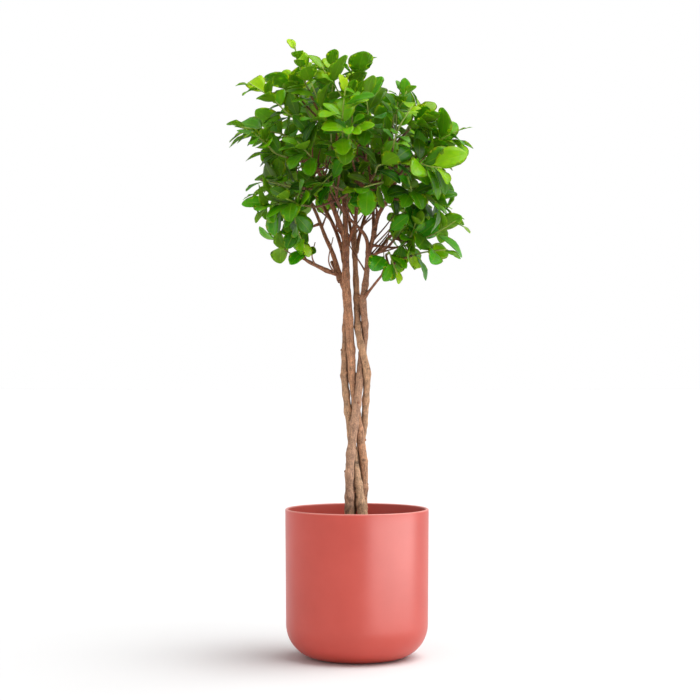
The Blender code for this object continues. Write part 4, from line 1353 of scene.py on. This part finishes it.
# %% Young green skin
SKIN_AGES = ((0.0, "80883E"), (0.5, "98A84C"), (1.0, "B4C85A"))
MOTTLE, MOTTLE_DETAIL, MOTTLE_RELIEF = 3.85, 3.0, (0.2, 0.0003)
SKIN_SHADES = {"mottle": (0.3, 0.7, 0.8, 1.12), "ring": (0.0, 1.0, 1.0, 0.7)}

young_skin, tree, shader, spot = new_surface("young_green_skin", {
    "Roughness": 0.42, "IOR": 1.45, "Subsurface Weight": 0.1, "Subsurface Scale": 0.001})
patterns = {name: add(tree, "ShaderNodeAttribute", attribute_name=name).outputs["Fac"]
            for name in ("age", "ring")}
mottle = add(tree, "ShaderNodeTexNoise", zip(NOISE, (spot, marks_of(MOTTLE), MOTTLE_DETAIL)))
light = shade_by(tree, {**patterns, "mottle": mottle}, SKIN_SHADES)
ages = add(tree, "ShaderNodeValToRGB", {"Fac": patterns["age"]}, SKIN_AGES)
toned = add(tree, "ShaderNodeVectorMath", {0: ages, 3: light}, operation="SCALE")
relief = add(tree, "ShaderNodeBump", zip(BUMP, (mottle, *MOTTLE_RELIEF)))
feed(tree, shader, {"Base Color": toned, "Normal": relief})

# %% Shoots with a bud at each end
# How far ahead of the shoot's end each ring of a bud lies, and its radius.
BUD = ((0.0020, 0.00135), (0.0050, 0.00115), (0.0085, 0.00015))
SHOOT_SIDES = 8
SHOOT_TONE = 0.5
SHOOT_AGES = (0.0, 1.0)
SHOOT_HEIGHTS = (0.12, 0.08)

green = Lines()
for row in grown:
    last, end = row.shoot[-2:, :3]
    way = (end - last) / np.linalg.norm(end - last)
    bud = [(*(end + way * ahead), radius) for ahead, radius in BUD]
    green.add(np.vstack([row.shoot, bud]), TWIG_SPANS, SHOOT_AGES, TWIG_RINGS, SHOOT_TONE)
sprays = ["spray_%02d" % (row.number + 1) for row in grown]
keep(green.swept("green_shoots", SHOOT_SIDES, SHOOT_HEIGHTS, young_skin), "leaf_green", *sprays)

# %% [markdown]
# ## Leaves
#
# A ficus leaf is a firm, waxy blade on a short round stalk, widest beyond its middle, with a blunt
# tip and a pale midrib that stands out below. One flat blade of under a hundred faces is modelled
# once. A tree sets a copy on every root point, then bends, folds and ripples each copy by its own
# numbers. Bending after the copies are made keeps them all different from one small shape.

# %% One flat leaf
# Distance along the leaf, half width there, how much of the fold shows, and how thick it is.
LEAF_ROWS = (
    (0.00, 0.050, 0.0, 2.6), (0.05, 0.045, 0.0, 2.4), (0.10, 0.055, 0.0, 2.2), (0.14, 0.20, 0.1, 1.6),
    (0.22, 0.53, 0.3, 1.3), (0.33, 0.82, 0.5, 1.1), (0.46, 0.97, 0.8, 1.0), (0.60, 1.00, 1.0, 1.0),
    (0.73, 0.91, 0.9, 0.9), (0.85, 0.70, 0.6, 0.8), (0.93, 0.45, 0.4, 0.7), (0.98, 0.20, 0.2, 0.6),
    (1.00, 0.00, 0.0, 0.0),
)
COLUMNS = (-1.0, -0.55, 0.0, 0.55, 1.0)
MIDRIB_BELOW = 1.9
MIDRIB_ABOVE = 0.25
STALK_THICK = 2
LEAST_WIDTH = 0.05


def leaf_mesh():
    """The upper and lower skins of a flat leaf, which meet at its edge, with their facts."""
    shape = bmesh.new()
    place = shape.verts.layers.float_vector.new("place")
    skin = shape.verts.layers.float.new("skin")
    uv = shape.loops.layers.uv.new("UVMap")
    rows = {1: [], -1: []}
    for along, width, fold, thick in LEAF_ROWS:
        for side in (1, -1):
            row = []
            for column in COLUMNS if width else (0.0,):
                rim = abs(column) == 1.0 or not width
                if side == -1 and rim:
                    row.append(rows[1][-1][0 if column <= 0 else -1])
                    continue
                vert = shape.verts.new((column * width, along, 0.0))
                vert[place] = (column * width, along, fold)
                midrib = column == 0.0 and thick < STALK_THICK
                swell = (MIDRIB_BELOW if side < 0 else MIDRIB_ABOVE) if midrib else 1.0
                vert[skin] = 0.0 if rim else side * thick * swell
                row.append(vert)
            rows[side].append(row)
    for side in (1, -1):
        for low, high in zip(rows[side], rows[side][1:]):
            for i in range(len(low) - 1):
                far = [high[i + 1], high[i]] if len(high) > 1 else [high[0]]
                shape.faces.new([low[i], low[i + 1], *far][::side])
        shape.faces.ensure_lookup_table()
    root = rows[1][0] + rows[-1][0][-2:0:-1]
    shape.faces.new(root[::-1])
    widths = {along: width for along, width, *_ in LEAF_ROWS}
    for face in shape.faces:
        for loop in face.loops:
            across, along, _ = loop.vert[place]
            nearest = min(widths, key=lambda a: abs(a - along))
            width = max(widths[nearest], LEAST_WIDTH)
            loop[uv].uv = (0.5 + 0.5 * across / width, along)
    mesh = bpy.data.meshes.new("flat_leaf")
    bmesh.ops.recalc_face_normals(shape, faces=shape.faces)
    shape.to_mesh(mesh)
    shape.free()
    return mesh


flat_leaf = add_object("flat_leaf", leaf_mesh())
print("flat leaf", len(flat_leaf.data.polygons), "faces")

# %% [markdown]
# The tree reads each leaf's own numbers after the copies are real. The formula is the one that
# bends the solids: a leaf rolls down along a circle and its halves rise from the midrib. The
# square root keeps the fold round, because a real blade curves up from its midrib and has no
# crease beside it. The solids are a little slim so that they clear one another, and the dressed
# blade gets its full width.

# %% A tree that sets, bends and folds the leaves
SOFT_FOLD = 0.18
FULLER = 1.10
# How far apart the roots are pushed in the noise, so that no two leaves ripple alike, and the
# ripples along a leaf.
ROOT_SPREAD = (310.0, 310.0, 310.0)
RIPPLES, RIPPLE_DETAIL = 2.6, 1.0
FACTS = {"FLOAT": ("leaf_size", "leaf_bend", "leaf_fold", "skin"),
         "FLOAT_VECTOR": ("place", "leaf_root", "leaf_across", "leaf_ahead", "leaf_up")}

leaf_maker, given = new_tree("leaves_on_shoots", {
    "Leaf": "Object", "Thickness": "Float", "Ripple": "Float", "Surface": "Material"})
flat = add(leaf_maker, "GeometryNodeObjectInfo", {"Object": given["Leaf"]}, transform_space="ORIGINAL")
copies = add(leaf_maker, "GeometryNodeInstanceOnPoints",
             {"Points": given["Geometry"], "Instance": flat.outputs["Geometry"]})
real = add(leaf_maker, "GeometryNodeRealizeInstances", {"Geometry": copies})
fact = {name: add(leaf_maker, "GeometryNodeInputNamedAttribute", {"Name": name}, data_type=kind)
        for kind, names in FACTS.items() for name in names}
split = add(leaf_maker, "ShaderNodeSeparateXYZ", {0: fact["place"]}).outputs
own = add(leaf_maker, "ShaderNodeVectorMath", {0: fact["leaf_root"], 1: ROOT_SPREAD, 2: fact["place"]},
          operation="MULTIPLY_ADD")
ripple = add(leaf_maker, "ShaderNodeTexNoise", zip(NOISE, (own, RIPPLES, RIPPLE_DETAIL)))

# %% Roll, fold and ripple as a table of numbers
numbers = formula(leaf_maker, {
    **fact, "across": split["X"], "along": split["Y"], "share": split["Z"], "noise": ripple,
    "ripple": given["Ripple"], "thickness": given["Thickness"]}, (
    ("half", "MULTIPLY", "leaf_size", FULLER * LEAF_WIDTH / 2),
    ("wide", "MULTIPLY", "half", "across"),
    ("turn", "MULTIPLY", "leaf_bend", "along"),
    ("sine", "SINE", "turn"),
    ("cosine", "COSINE", "turn"),
    ("radius", "DIVIDE", "leaf_size", "leaf_bend"),
    ("ahead", "MULTIPLY", "radius", "sine"),
    ("level", "SUBTRACT", 1.0, "cosine"),
    ("drop", "MULTIPLY", "radius", "level"),
    ("slope", "SINE", "leaf_fold"),
    ("flatter", "COSINE", "leaf_fold"),
    ("squared", "MULTIPLY_ADD", "across", "across", SOFT_FOLD**2),
    ("edge", "SQRT", "squared"),
    ("lifted", "SUBTRACT", "edge", SOFT_FOLD),
    ("shown", "MULTIPLY", "lifted", "share"),
    ("folded", "MULTIPLY", "shown", "slope"),
    ("lift", "MULTIPLY", "folded", "half"),
    ("centred", "SUBTRACT", "noise", 0.5),
    ("outer", "MULTIPLY", "across", "across"),
    ("wavy", "MULTIPLY", "centred", "outer"),
    ("waves", "MULTIPLY", "wavy", "ripple"),
    ("skin rise", "MULTIPLY", "skin", "thickness"),
    ("raised", "ADD", "lift", "waves"),
    ("rise", "ADD", "raised", "skin rise"),
    ("x", "MULTIPLY", "wide", "flatter"),
    ("y", "MULTIPLY_ADD", "rise", "sine", "ahead"),
    ("risen", "MULTIPLY", "rise", "cosine"),
    ("z", "SUBTRACT", "risen", "drop"),
))
spot = fact["leaf_root"]
for name, length in (("leaf_across", "x"), ("leaf_ahead", "y"), ("leaf_up", "z")):
    part = add(leaf_maker, "ShaderNodeVectorMath", {0: fact[name], 3: numbers[length]}, operation="SCALE")
    spot = add(leaf_maker, "ShaderNodeVectorMath", {0: spot, 1: part}, operation="ADD")
posed = add(leaf_maker, "GeometryNodeSetPosition", {"Geometry": real, "Position": spot})
smooth = add(leaf_maker, "GeometryNodeSetShadeSmooth", {"Geometry": posed})
end_tree(leaf_maker, smooth, given["Surface"])

# %% [markdown]
# The upper skin is a deep, waxy green that shines softly. Below it the leaf is paler and dull.
# Leaves at the top and outside of the head are a lighter, yellower green than those inside: partly
# the real colour of leaves grown in the light, partly painted shade that darkens the leaves deep in
# the head. The youngest, at the end of each shoot, are nearly yellow. Each leaf also lets some light
# through, which Blender calls subsurface scattering, and which gives the lit edges of the head their
# glow. The veins run off the midrib at an even step, so a repeating line drawn over the leaf's own
# UV map makes them.

# %% Waxy fig leaf
# Greens from the inside of the head to its top and outside. The dark end is partly the leaves' own colour
# and partly painted shade.
LEAF_GREENS = ((0.0, "0A3A02"), (0.5, "368A04"), (1.0, "A2CC04"))
NEW_LEAF, BELOW, VEIN = "A8C40E", "648C0E", "8AB020"
VEIN_PAIRS, VEIN_SLANT, VEIN_SHARE = 9.0, 1.5, 0.38
# Width in millimetres and detail of the blotches and of the fine skin.
BLOTCHES, FINE_SKIN = (11.1, 3.0), (1.111, 2.0)
BLOTCH_SHARE = 0.3
# How far from its middle line the midrib or a vein ends, and how much of it shows from there on.
MIDRIB_SEEN, VEINS_SEEN = (0.008, 0.045, 1.0, 0.0), (0.02, 0.13, 0.2, 0.0)
# The skin's own number is negative below, and its roughness runs from waxy to dull.
BELOW_SEEN, WAXY_TO_DULL = (-0.15, 0.0, 1.0, 0.0), (0.0, 1.0, 0.29, 0.6)
VEIN_RELIEF, SKIN_RELIEF = (0.35, 0.0004), (0.08, 0.0002)

fig_leaf, tree, shader, spot = new_surface("waxy_fig_leaf", {
    "IOR": 1.4, "Specular IOR Level": 0.22, "Subsurface Weight": 0.4, "Subsurface Scale": 0.0022,
    "Subsurface Radius": (0.5, 1.0, 0.05)})
leaf_uv = add(tree, "ShaderNodeUVMap", uv_map="UVMap")
split = add(tree, "ShaderNodeSeparateXYZ", {0: leaf_uv}).outputs
blotch, fine = [add(tree, "ShaderNodeTexNoise", zip(NOISE, (spot, marks_of(width), detail)))
                for width, detail in (BLOTCHES, FINE_SKIN)]
# Each leaf's tone carries painted shade as well as its own colour: darker inside the head, lighter
# outside and on top.
tint, young, skin = [add(tree, "ShaderNodeAttribute", attribute_name=name).outputs["Fac"]
                     for name in ("leaf_tint", "leaf_young", "skin")]
lines = formula(tree, {"u": split["X"], "v": split["Y"], "blotch": blotch, "tint": tint}, (
    ("off middle", "SUBTRACT", "u", 0.5),
    ("beside", "ABSOLUTE", "off middle"),
    ("which side", "GREATER_THAN", "u", 0.5),
    ("staggered", "MULTIPLY", "which side", 0.5),
    ("slant", "MULTIPLY", "beside", VEIN_SLANT * 2),
    ("steps", "MULTIPLY_ADD", "v", VEIN_PAIRS, "staggered"),
    ("phase", "SUBTRACT", "steps", "slant"),
    ("to vein", "PINGPONG", "phase", 0.5),
    ("tone", "MULTIPLY_ADD", "blotch", BLOTCH_SHARE, "tint"),
    ("toned", "SUBTRACT", "tone", BLOTCH_SHARE / 2),
))

# %% Leaf colour, shine and relief
midrib, veins = [
    add(tree, "ShaderNodeMapRange", zip(RANGE, (lines[name], *row)), interpolation_type="SMOOTHSTEP")
    for name, row in (("beside", MIDRIB_SEEN), ("to vein", VEINS_SEEN))]
below = add(tree, "ShaderNodeMapRange", zip(RANGE, (skin, *BELOW_SEEN)))
marks = add(tree, "ShaderNodeMath", {0: midrib, 1: veins}, operation="MAXIMUM")
marks_shown = add(tree, "ShaderNodeMath", {0: marks, 1: VEIN_SHARE}, operation="MULTIPLY")
green = add(tree, "ShaderNodeValToRGB", {"Fac": lines["toned"]}, LEAF_GREENS)
for share, code in ((young, NEW_LEAF), (below, BELOW), (marks_shown, VEIN)):
    green = add(tree, "ShaderNodeMix", {"Factor": share, "A": green, "B": colour(code)}, data_type="RGBA")
dull = add(tree, "ShaderNodeMapRange", zip(RANGE, (below, *WAXY_TO_DULL)))
relief = add(tree, "ShaderNodeBump", zip(BUMP, (marks, *VEIN_RELIEF)), invert=True)
relief = add(tree, "ShaderNodeBump", zip(BUMP, (fine, *SKIN_RELIEF, relief)))
feed(tree, shader, {"Base Color": green, "Roughness": dull, "Normal": relief})
print("leaf", len(tree.nodes), "nodes")

# %% Set every leaf
TINT_SEED = 41
LEAF_HALF_THICKNESS = 0.00022
LEAF_RIPPLE = 0.006
END_YOUNG = (0.0, 0.5)
FULL_YOUNG = (0.0, 0.15)
CROWN_HALF = (0.17, 0.17, 0.15)
# How a leaf's tone and painted shade follow its place: darker inside and low in the head, lighter outside
# and on top, with some chance.
TINT_LOW, TINT_OUT, TINT_UP, TINT_STRAY = -0.34, 0.86, 0.26, 0.30

rng = random.Random(TINT_SEED)
facts = {name: [] for name in (
    "leaf_root", "leaf_across", "leaf_ahead", "leaf_up", "leaf_size", "leaf_bend", "leaf_fold",
    "leaf_tint", "leaf_young")}
crown_centre = CROWN_AXIS + Vector((0, 0, CROWN_CENTRE_Z))
ends = {id(poses[0]) for poses in leaves.values() if poses}
for pose in [pose for poses in leaves.values() for pose in poses] + extra + inner_leaves:
    matrix, length, bend, fold = pose
    columns = matrix.to_3x3().transposed()
    middle = matrix @ Vector((0, length / 2, 0)) - crown_centre
    outside = Vector(middle[k] / CROWN_HALF[k] for k in range(3))
    # Painted shade: the tone darkens towards the inside and the bottom of the head.
    tint = TINT_LOW + TINT_OUT * outside.length + TINT_UP * outside.z
    tint += rng.uniform(-TINT_STRAY, TINT_STRAY)
    young = rng.uniform(*(END_YOUNG if id(pose) in ends else FULL_YOUNG))
    row = (matrix.translation, *columns, length, bend, fold, min(max(tint, 0.0), 1.0), young)
    for name, value in zip(facts, row):
        facts[name].append(value)
guide = guide_mesh("leaves", facts["leaf_root"], [], facts)
piece = made_by(leaf_maker, "leaves", guide, {
    "Leaf": flat_leaf, "Thickness": LEAF_HALF_THICKNESS, "Ripple": LEAF_RIPPLE, "Surface": fig_leaf})
keep(piece, "leaf_green", *sprays)
bpy.data.objects.remove(flat_leaf)

# %% [markdown]
# ## The pot
#
# A plain round pot with a straight wall, a soft foot and a rounded lip, turned on a wheel or cast
# in a mould. A cylinder with its edges rounded off would have neither the soft foot nor the thin
# lip. One profile turned about the axis makes both, with more steps than the solid has, so that
# the edge stays round up close.

# %% Turn the pot
POT_RADIUS = 0.110
POT_HEIGHT = 0.228
POT_DRAFT = 0.0012
POT_CORNER = 0.052
POT_WALL = 0.0045
POT_FLOOR = 0.0060
POT_LIP = 0.0018
TURN_STEPS = 128
CURVE_STEPS = 14
LIP_STEPS = 5
WALL_STEPS = 12
MERGE_REACH = 1e-5


def arc(centre, radius, first, last, steps):
    """Points on a quarter of a circle in the X-Z plane, angles in degrees."""
    angles = np.radians(np.linspace(first, last, steps + 1))
    return [(centre[0] + radius * math.cos(a), centre[1] + radius * math.sin(a)) for a in angles]


def pot_profile():
    """From the middle of the inner floor, over the lip and down to the middle of the underside."""
    low = POT_RADIUS - POT_DRAFT
    inner = POT_CORNER - POT_WALL
    inside = arc((low - POT_WALL - inner, POT_FLOOR + inner), inner, -90, 0, CURVE_STEPS)
    lip = arc((POT_RADIUS - POT_WALL + POT_LIP, POT_HEIGHT - POT_LIP), POT_LIP, 180, 90, LIP_STEPS)
    lip += arc((POT_RADIUS - POT_LIP, POT_HEIGHT - POT_LIP), POT_LIP, 90, 0, LIP_STEPS)
    foot = arc((low - POT_CORNER, POT_CORNER), POT_CORNER, 0, -90, CURVE_STEPS)
    straight = [tuple(p) for p in np.linspace(lip[-1], foot[0], WALL_STEPS + 1)[1:-1]]
    return [(0, POT_FLOOR)] + inside + lip + straight + foot + [(0, 0)]


profile = [(across, 0, height) for across, height in pot_profile()]
lines = [(i, i + 1) for i in range(len(profile) - 1)]
pot = add_object("glazed_pot", guide_mesh("glazed_pot", profile, lines, {}))
screw = pot.modifiers.new("turn", "SCREW")
screw.steps = screw.render_steps = TURN_STEPS
screw.use_merge_vertices = True
screw.merge_threshold = MERGE_REACH
plain_mesh(pot)
pot.data.shade_smooth()

# %% [markdown]
# The glaze is a satin coral: a clay body under a coloured coat that melts into a fine, slightly
# uneven skin. It is smooth enough for a broad soft highlight and never mirrors the room. One even
# colour would look like plastic, so slow clouds change its tone and dimples break its highlight.
# On the edge of the lip the glaze runs thin and pale, and that paler colour is also a painted
# highlight.

# %% Satin coral glaze
GLAZE_TONES = ((0.3, "C4473A"), (0.5, "C94B3E"), (0.72, "CD4F42"))
# The pale colour of thin glaze on the lip, which is also a painted highlight.
GLAZE_THIN_AND_LIT = "EBA196"
# Width in millimetres and detail of the clouds, the grain and the dimples. The grain is finer on
# the pot, and as coarse here as it needs to be to show.
CLOUDS, GRAIN, DIMPLES = (71.4, 4.0), (0.769, 2.0), (6.25, 3.0)
# The glaze runs thin on the topmost millimetres of the lip, and is painted paler there as a highlight.
THIN_AND_LIT_HEIGHT, THIN_AND_LIT_SHARE = 0.0022, 0.8
GRAIN_TO_SHEEN = (0.3, 0.7, 0.34, 0.42)
DIMPLE_RELIEF, GRAIN_RELIEF = (0.06, 0.0004), (0.05, 0.0001)

satin_glaze, tree, shader, spot = new_surface("satin_coral_glaze", {
    "IOR": 1.5, "Specular IOR Level": 0.5})
clouds, grain, dimples = [add(tree, "ShaderNodeTexNoise", zip(NOISE, (spot, marks_of(width), detail)))
                          for width, detail in (CLOUDS, GRAIN, DIMPLES)]
coat = add(tree, "ShaderNodeValToRGB", {"Fac": clouds}, GLAZE_TONES)
height = add(tree, "ShaderNodeSeparateXYZ", {0: spot}).outputs["Z"]
# Thin glaze and painted highlight: the top of the lip is mixed towards the pale colour.
thin_and_lit_lip = add(tree, "ShaderNodeMapRange",
           zip(RANGE, (height, POT_HEIGHT - THIN_AND_LIT_HEIGHT, POT_HEIGHT, 0.0, THIN_AND_LIT_SHARE)))
coat_and_lit_lip = add(tree, "ShaderNodeMix", {"Factor": thin_and_lit_lip, "A": coat, "B": colour(GLAZE_THIN_AND_LIT)}, data_type="RGBA")
sheen = add(tree, "ShaderNodeMapRange", zip(RANGE, (grain, *GRAIN_TO_SHEEN)))
relief = add(tree, "ShaderNodeBump", zip(BUMP, (dimples, *DIMPLE_RELIEF)))
relief = add(tree, "ShaderNodeBump", zip(BUMP, (grain, *GRAIN_RELIEF, relief)))
feed(tree, shader, {"Base Color": coat_and_lit_lip, "Roughness": sheen, "Normal": relief})
pot.data.materials.append(satin_glaze)
keep(pot, "coral_glaze", "pot")

# %% [markdown]
# ## Soil
#
# Potting soil is peat and bark crumbs. The solid below gives its body. Bumps in a material would
# still end in a clean line at the stems and the wall, so real crumbs are scattered over it. They
# close round the stems, each one the same lump turned and sized at random.

# %% Damp potting soil
SOIL_TONES = ((0.32, "1E130C"), (0.52, "3B281B"), (0.72, "6A4A31"))
CLODS, CLOD_DETAIL, CLOD_ROUGH = 4.55, 6.0, 0.7
CLOD_RELIEF = (0.8, 0.0015)

damp_soil, tree, shader, spot = new_surface("damp_potting_soil", {"Roughness": 0.95, "IOR": 1.4})
clods = add(tree, "ShaderNodeTexNoise", zip(NOISE, (spot, marks_of(CLODS), CLOD_DETAIL, CLOD_ROUGH)))
mix = add(tree, "ShaderNodeValToRGB", {"Fac": clods}, SOIL_TONES)
relief = add(tree, "ShaderNodeBump", zip(BUMP, (clods, *CLOD_RELIEF)))
feed(tree, shader, {"Base Color": mix, "Normal": relief})
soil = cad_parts["soil"]
soil.data.materials.clear()
soil.data.materials.append(damp_soil)

# %% A tree that scatters crumbs
CRUMB_SEED = 7
CRUMB_DENSITY = 90000.0
CRUMB_RADIUS = 0.0021
CRUMB_LEAST, CRUMB_MOST = (0.35, 0.35, 0.25), (1.5, 1.1, 0.8)
DENT_WIDTH, DENT_DETAIL, DENT_DEPTH = 2.5, 1.0, 0.0022

scatter, given = new_tree("scattered_crumbs", {
    "Density": "Float", "Size": "Float", "Seed": "Int", "Surface": "Material"})
spots = add(scatter, "GeometryNodeDistributePointsOnFaces",
            {"Mesh": given["Geometry"], "Density": given["Density"], "Seed": given["Seed"]})
lump = add(scatter, "GeometryNodeMeshIcoSphere", {"Radius": given["Size"], "Subdivisions": 1})
turn, stretch = [
    add(scatter, "FunctionNodeRandomValue", {0: least, 1: most, "Seed": seed}, data_type="FLOAT_VECTOR")
    for least, most, seed in (((0.0, 0.0, 0.0), (TURN, TURN, TURN), CRUMB_SEED),
                              (CRUMB_LEAST, CRUMB_MOST, CRUMB_SEED + 1))]
lumps = add(scatter, "GeometryNodeInstanceOnPoints", {
    "Points": spots, "Instance": lump, "Rotation": turn, "Scale": stretch})
real = add(scatter, "GeometryNodeRealizeInstances", {"Geometry": lumps})
here = add(scatter, "GeometryNodeInputPosition")
rough = add(scatter, "ShaderNodeTexNoise", zip(NOISE, (here, marks_of(DENT_WIDTH), DENT_DETAIL)))
centred = add(scatter, "ShaderNodeVectorMath", {0: rough.outputs["Color"], 1: (0.5, 0.5, 0.5)},
              operation="SUBTRACT")
jolt = add(scatter, "ShaderNodeVectorMath", {0: centred, 3: DENT_DEPTH}, operation="SCALE")
broken = add(scatter, "GeometryNodeSetPosition", {"Geometry": real, "Offset": jolt})
end_tree(scatter, broken, given["Surface"])

# %% Scatter the crumbs over the soil
BED_MARGIN = 0.003
BED_RADIUS = POT_RADIUS - POT_WALL - POT_DRAFT - BED_MARGIN
BED_RINGS = 6
BED_SIDES = 48

bed = bmesh.new()
last = [bed.verts.new((0, 0, SOIL_TOP + SOIL_MOUND))] * BED_SIDES
for number in range(1, BED_RINGS + 1):
    share = number / BED_RINGS
    height = SOIL_TOP + SOIL_MOUND * (1 - share)
    rim = [bed.verts.new((BED_RADIUS * share * math.cos(TURN * s / BED_SIDES),
                          BED_RADIUS * share * math.sin(TURN * s / BED_SIDES), height))
           for s in range(BED_SIDES)]
    for s in range(BED_SIDES):
        t = (s + 1) % BED_SIDES
        corners = [last[s], rim[s], rim[t], last[t]]
        bed.faces.new(corners if number > 1 else corners[:3])
    last = rim
bed_mesh = bpy.data.meshes.new("soil_crumbs")
bed.to_mesh(bed_mesh)
bed.free()
crumbs = made_by(scatter, "soil_crumbs", bed_mesh, {
    "Density": CRUMB_DENSITY, "Size": CRUMB_RADIUS, "Seed": CRUMB_SEED, "Surface": damp_soil})
keep(crumbs, "potting_soil")
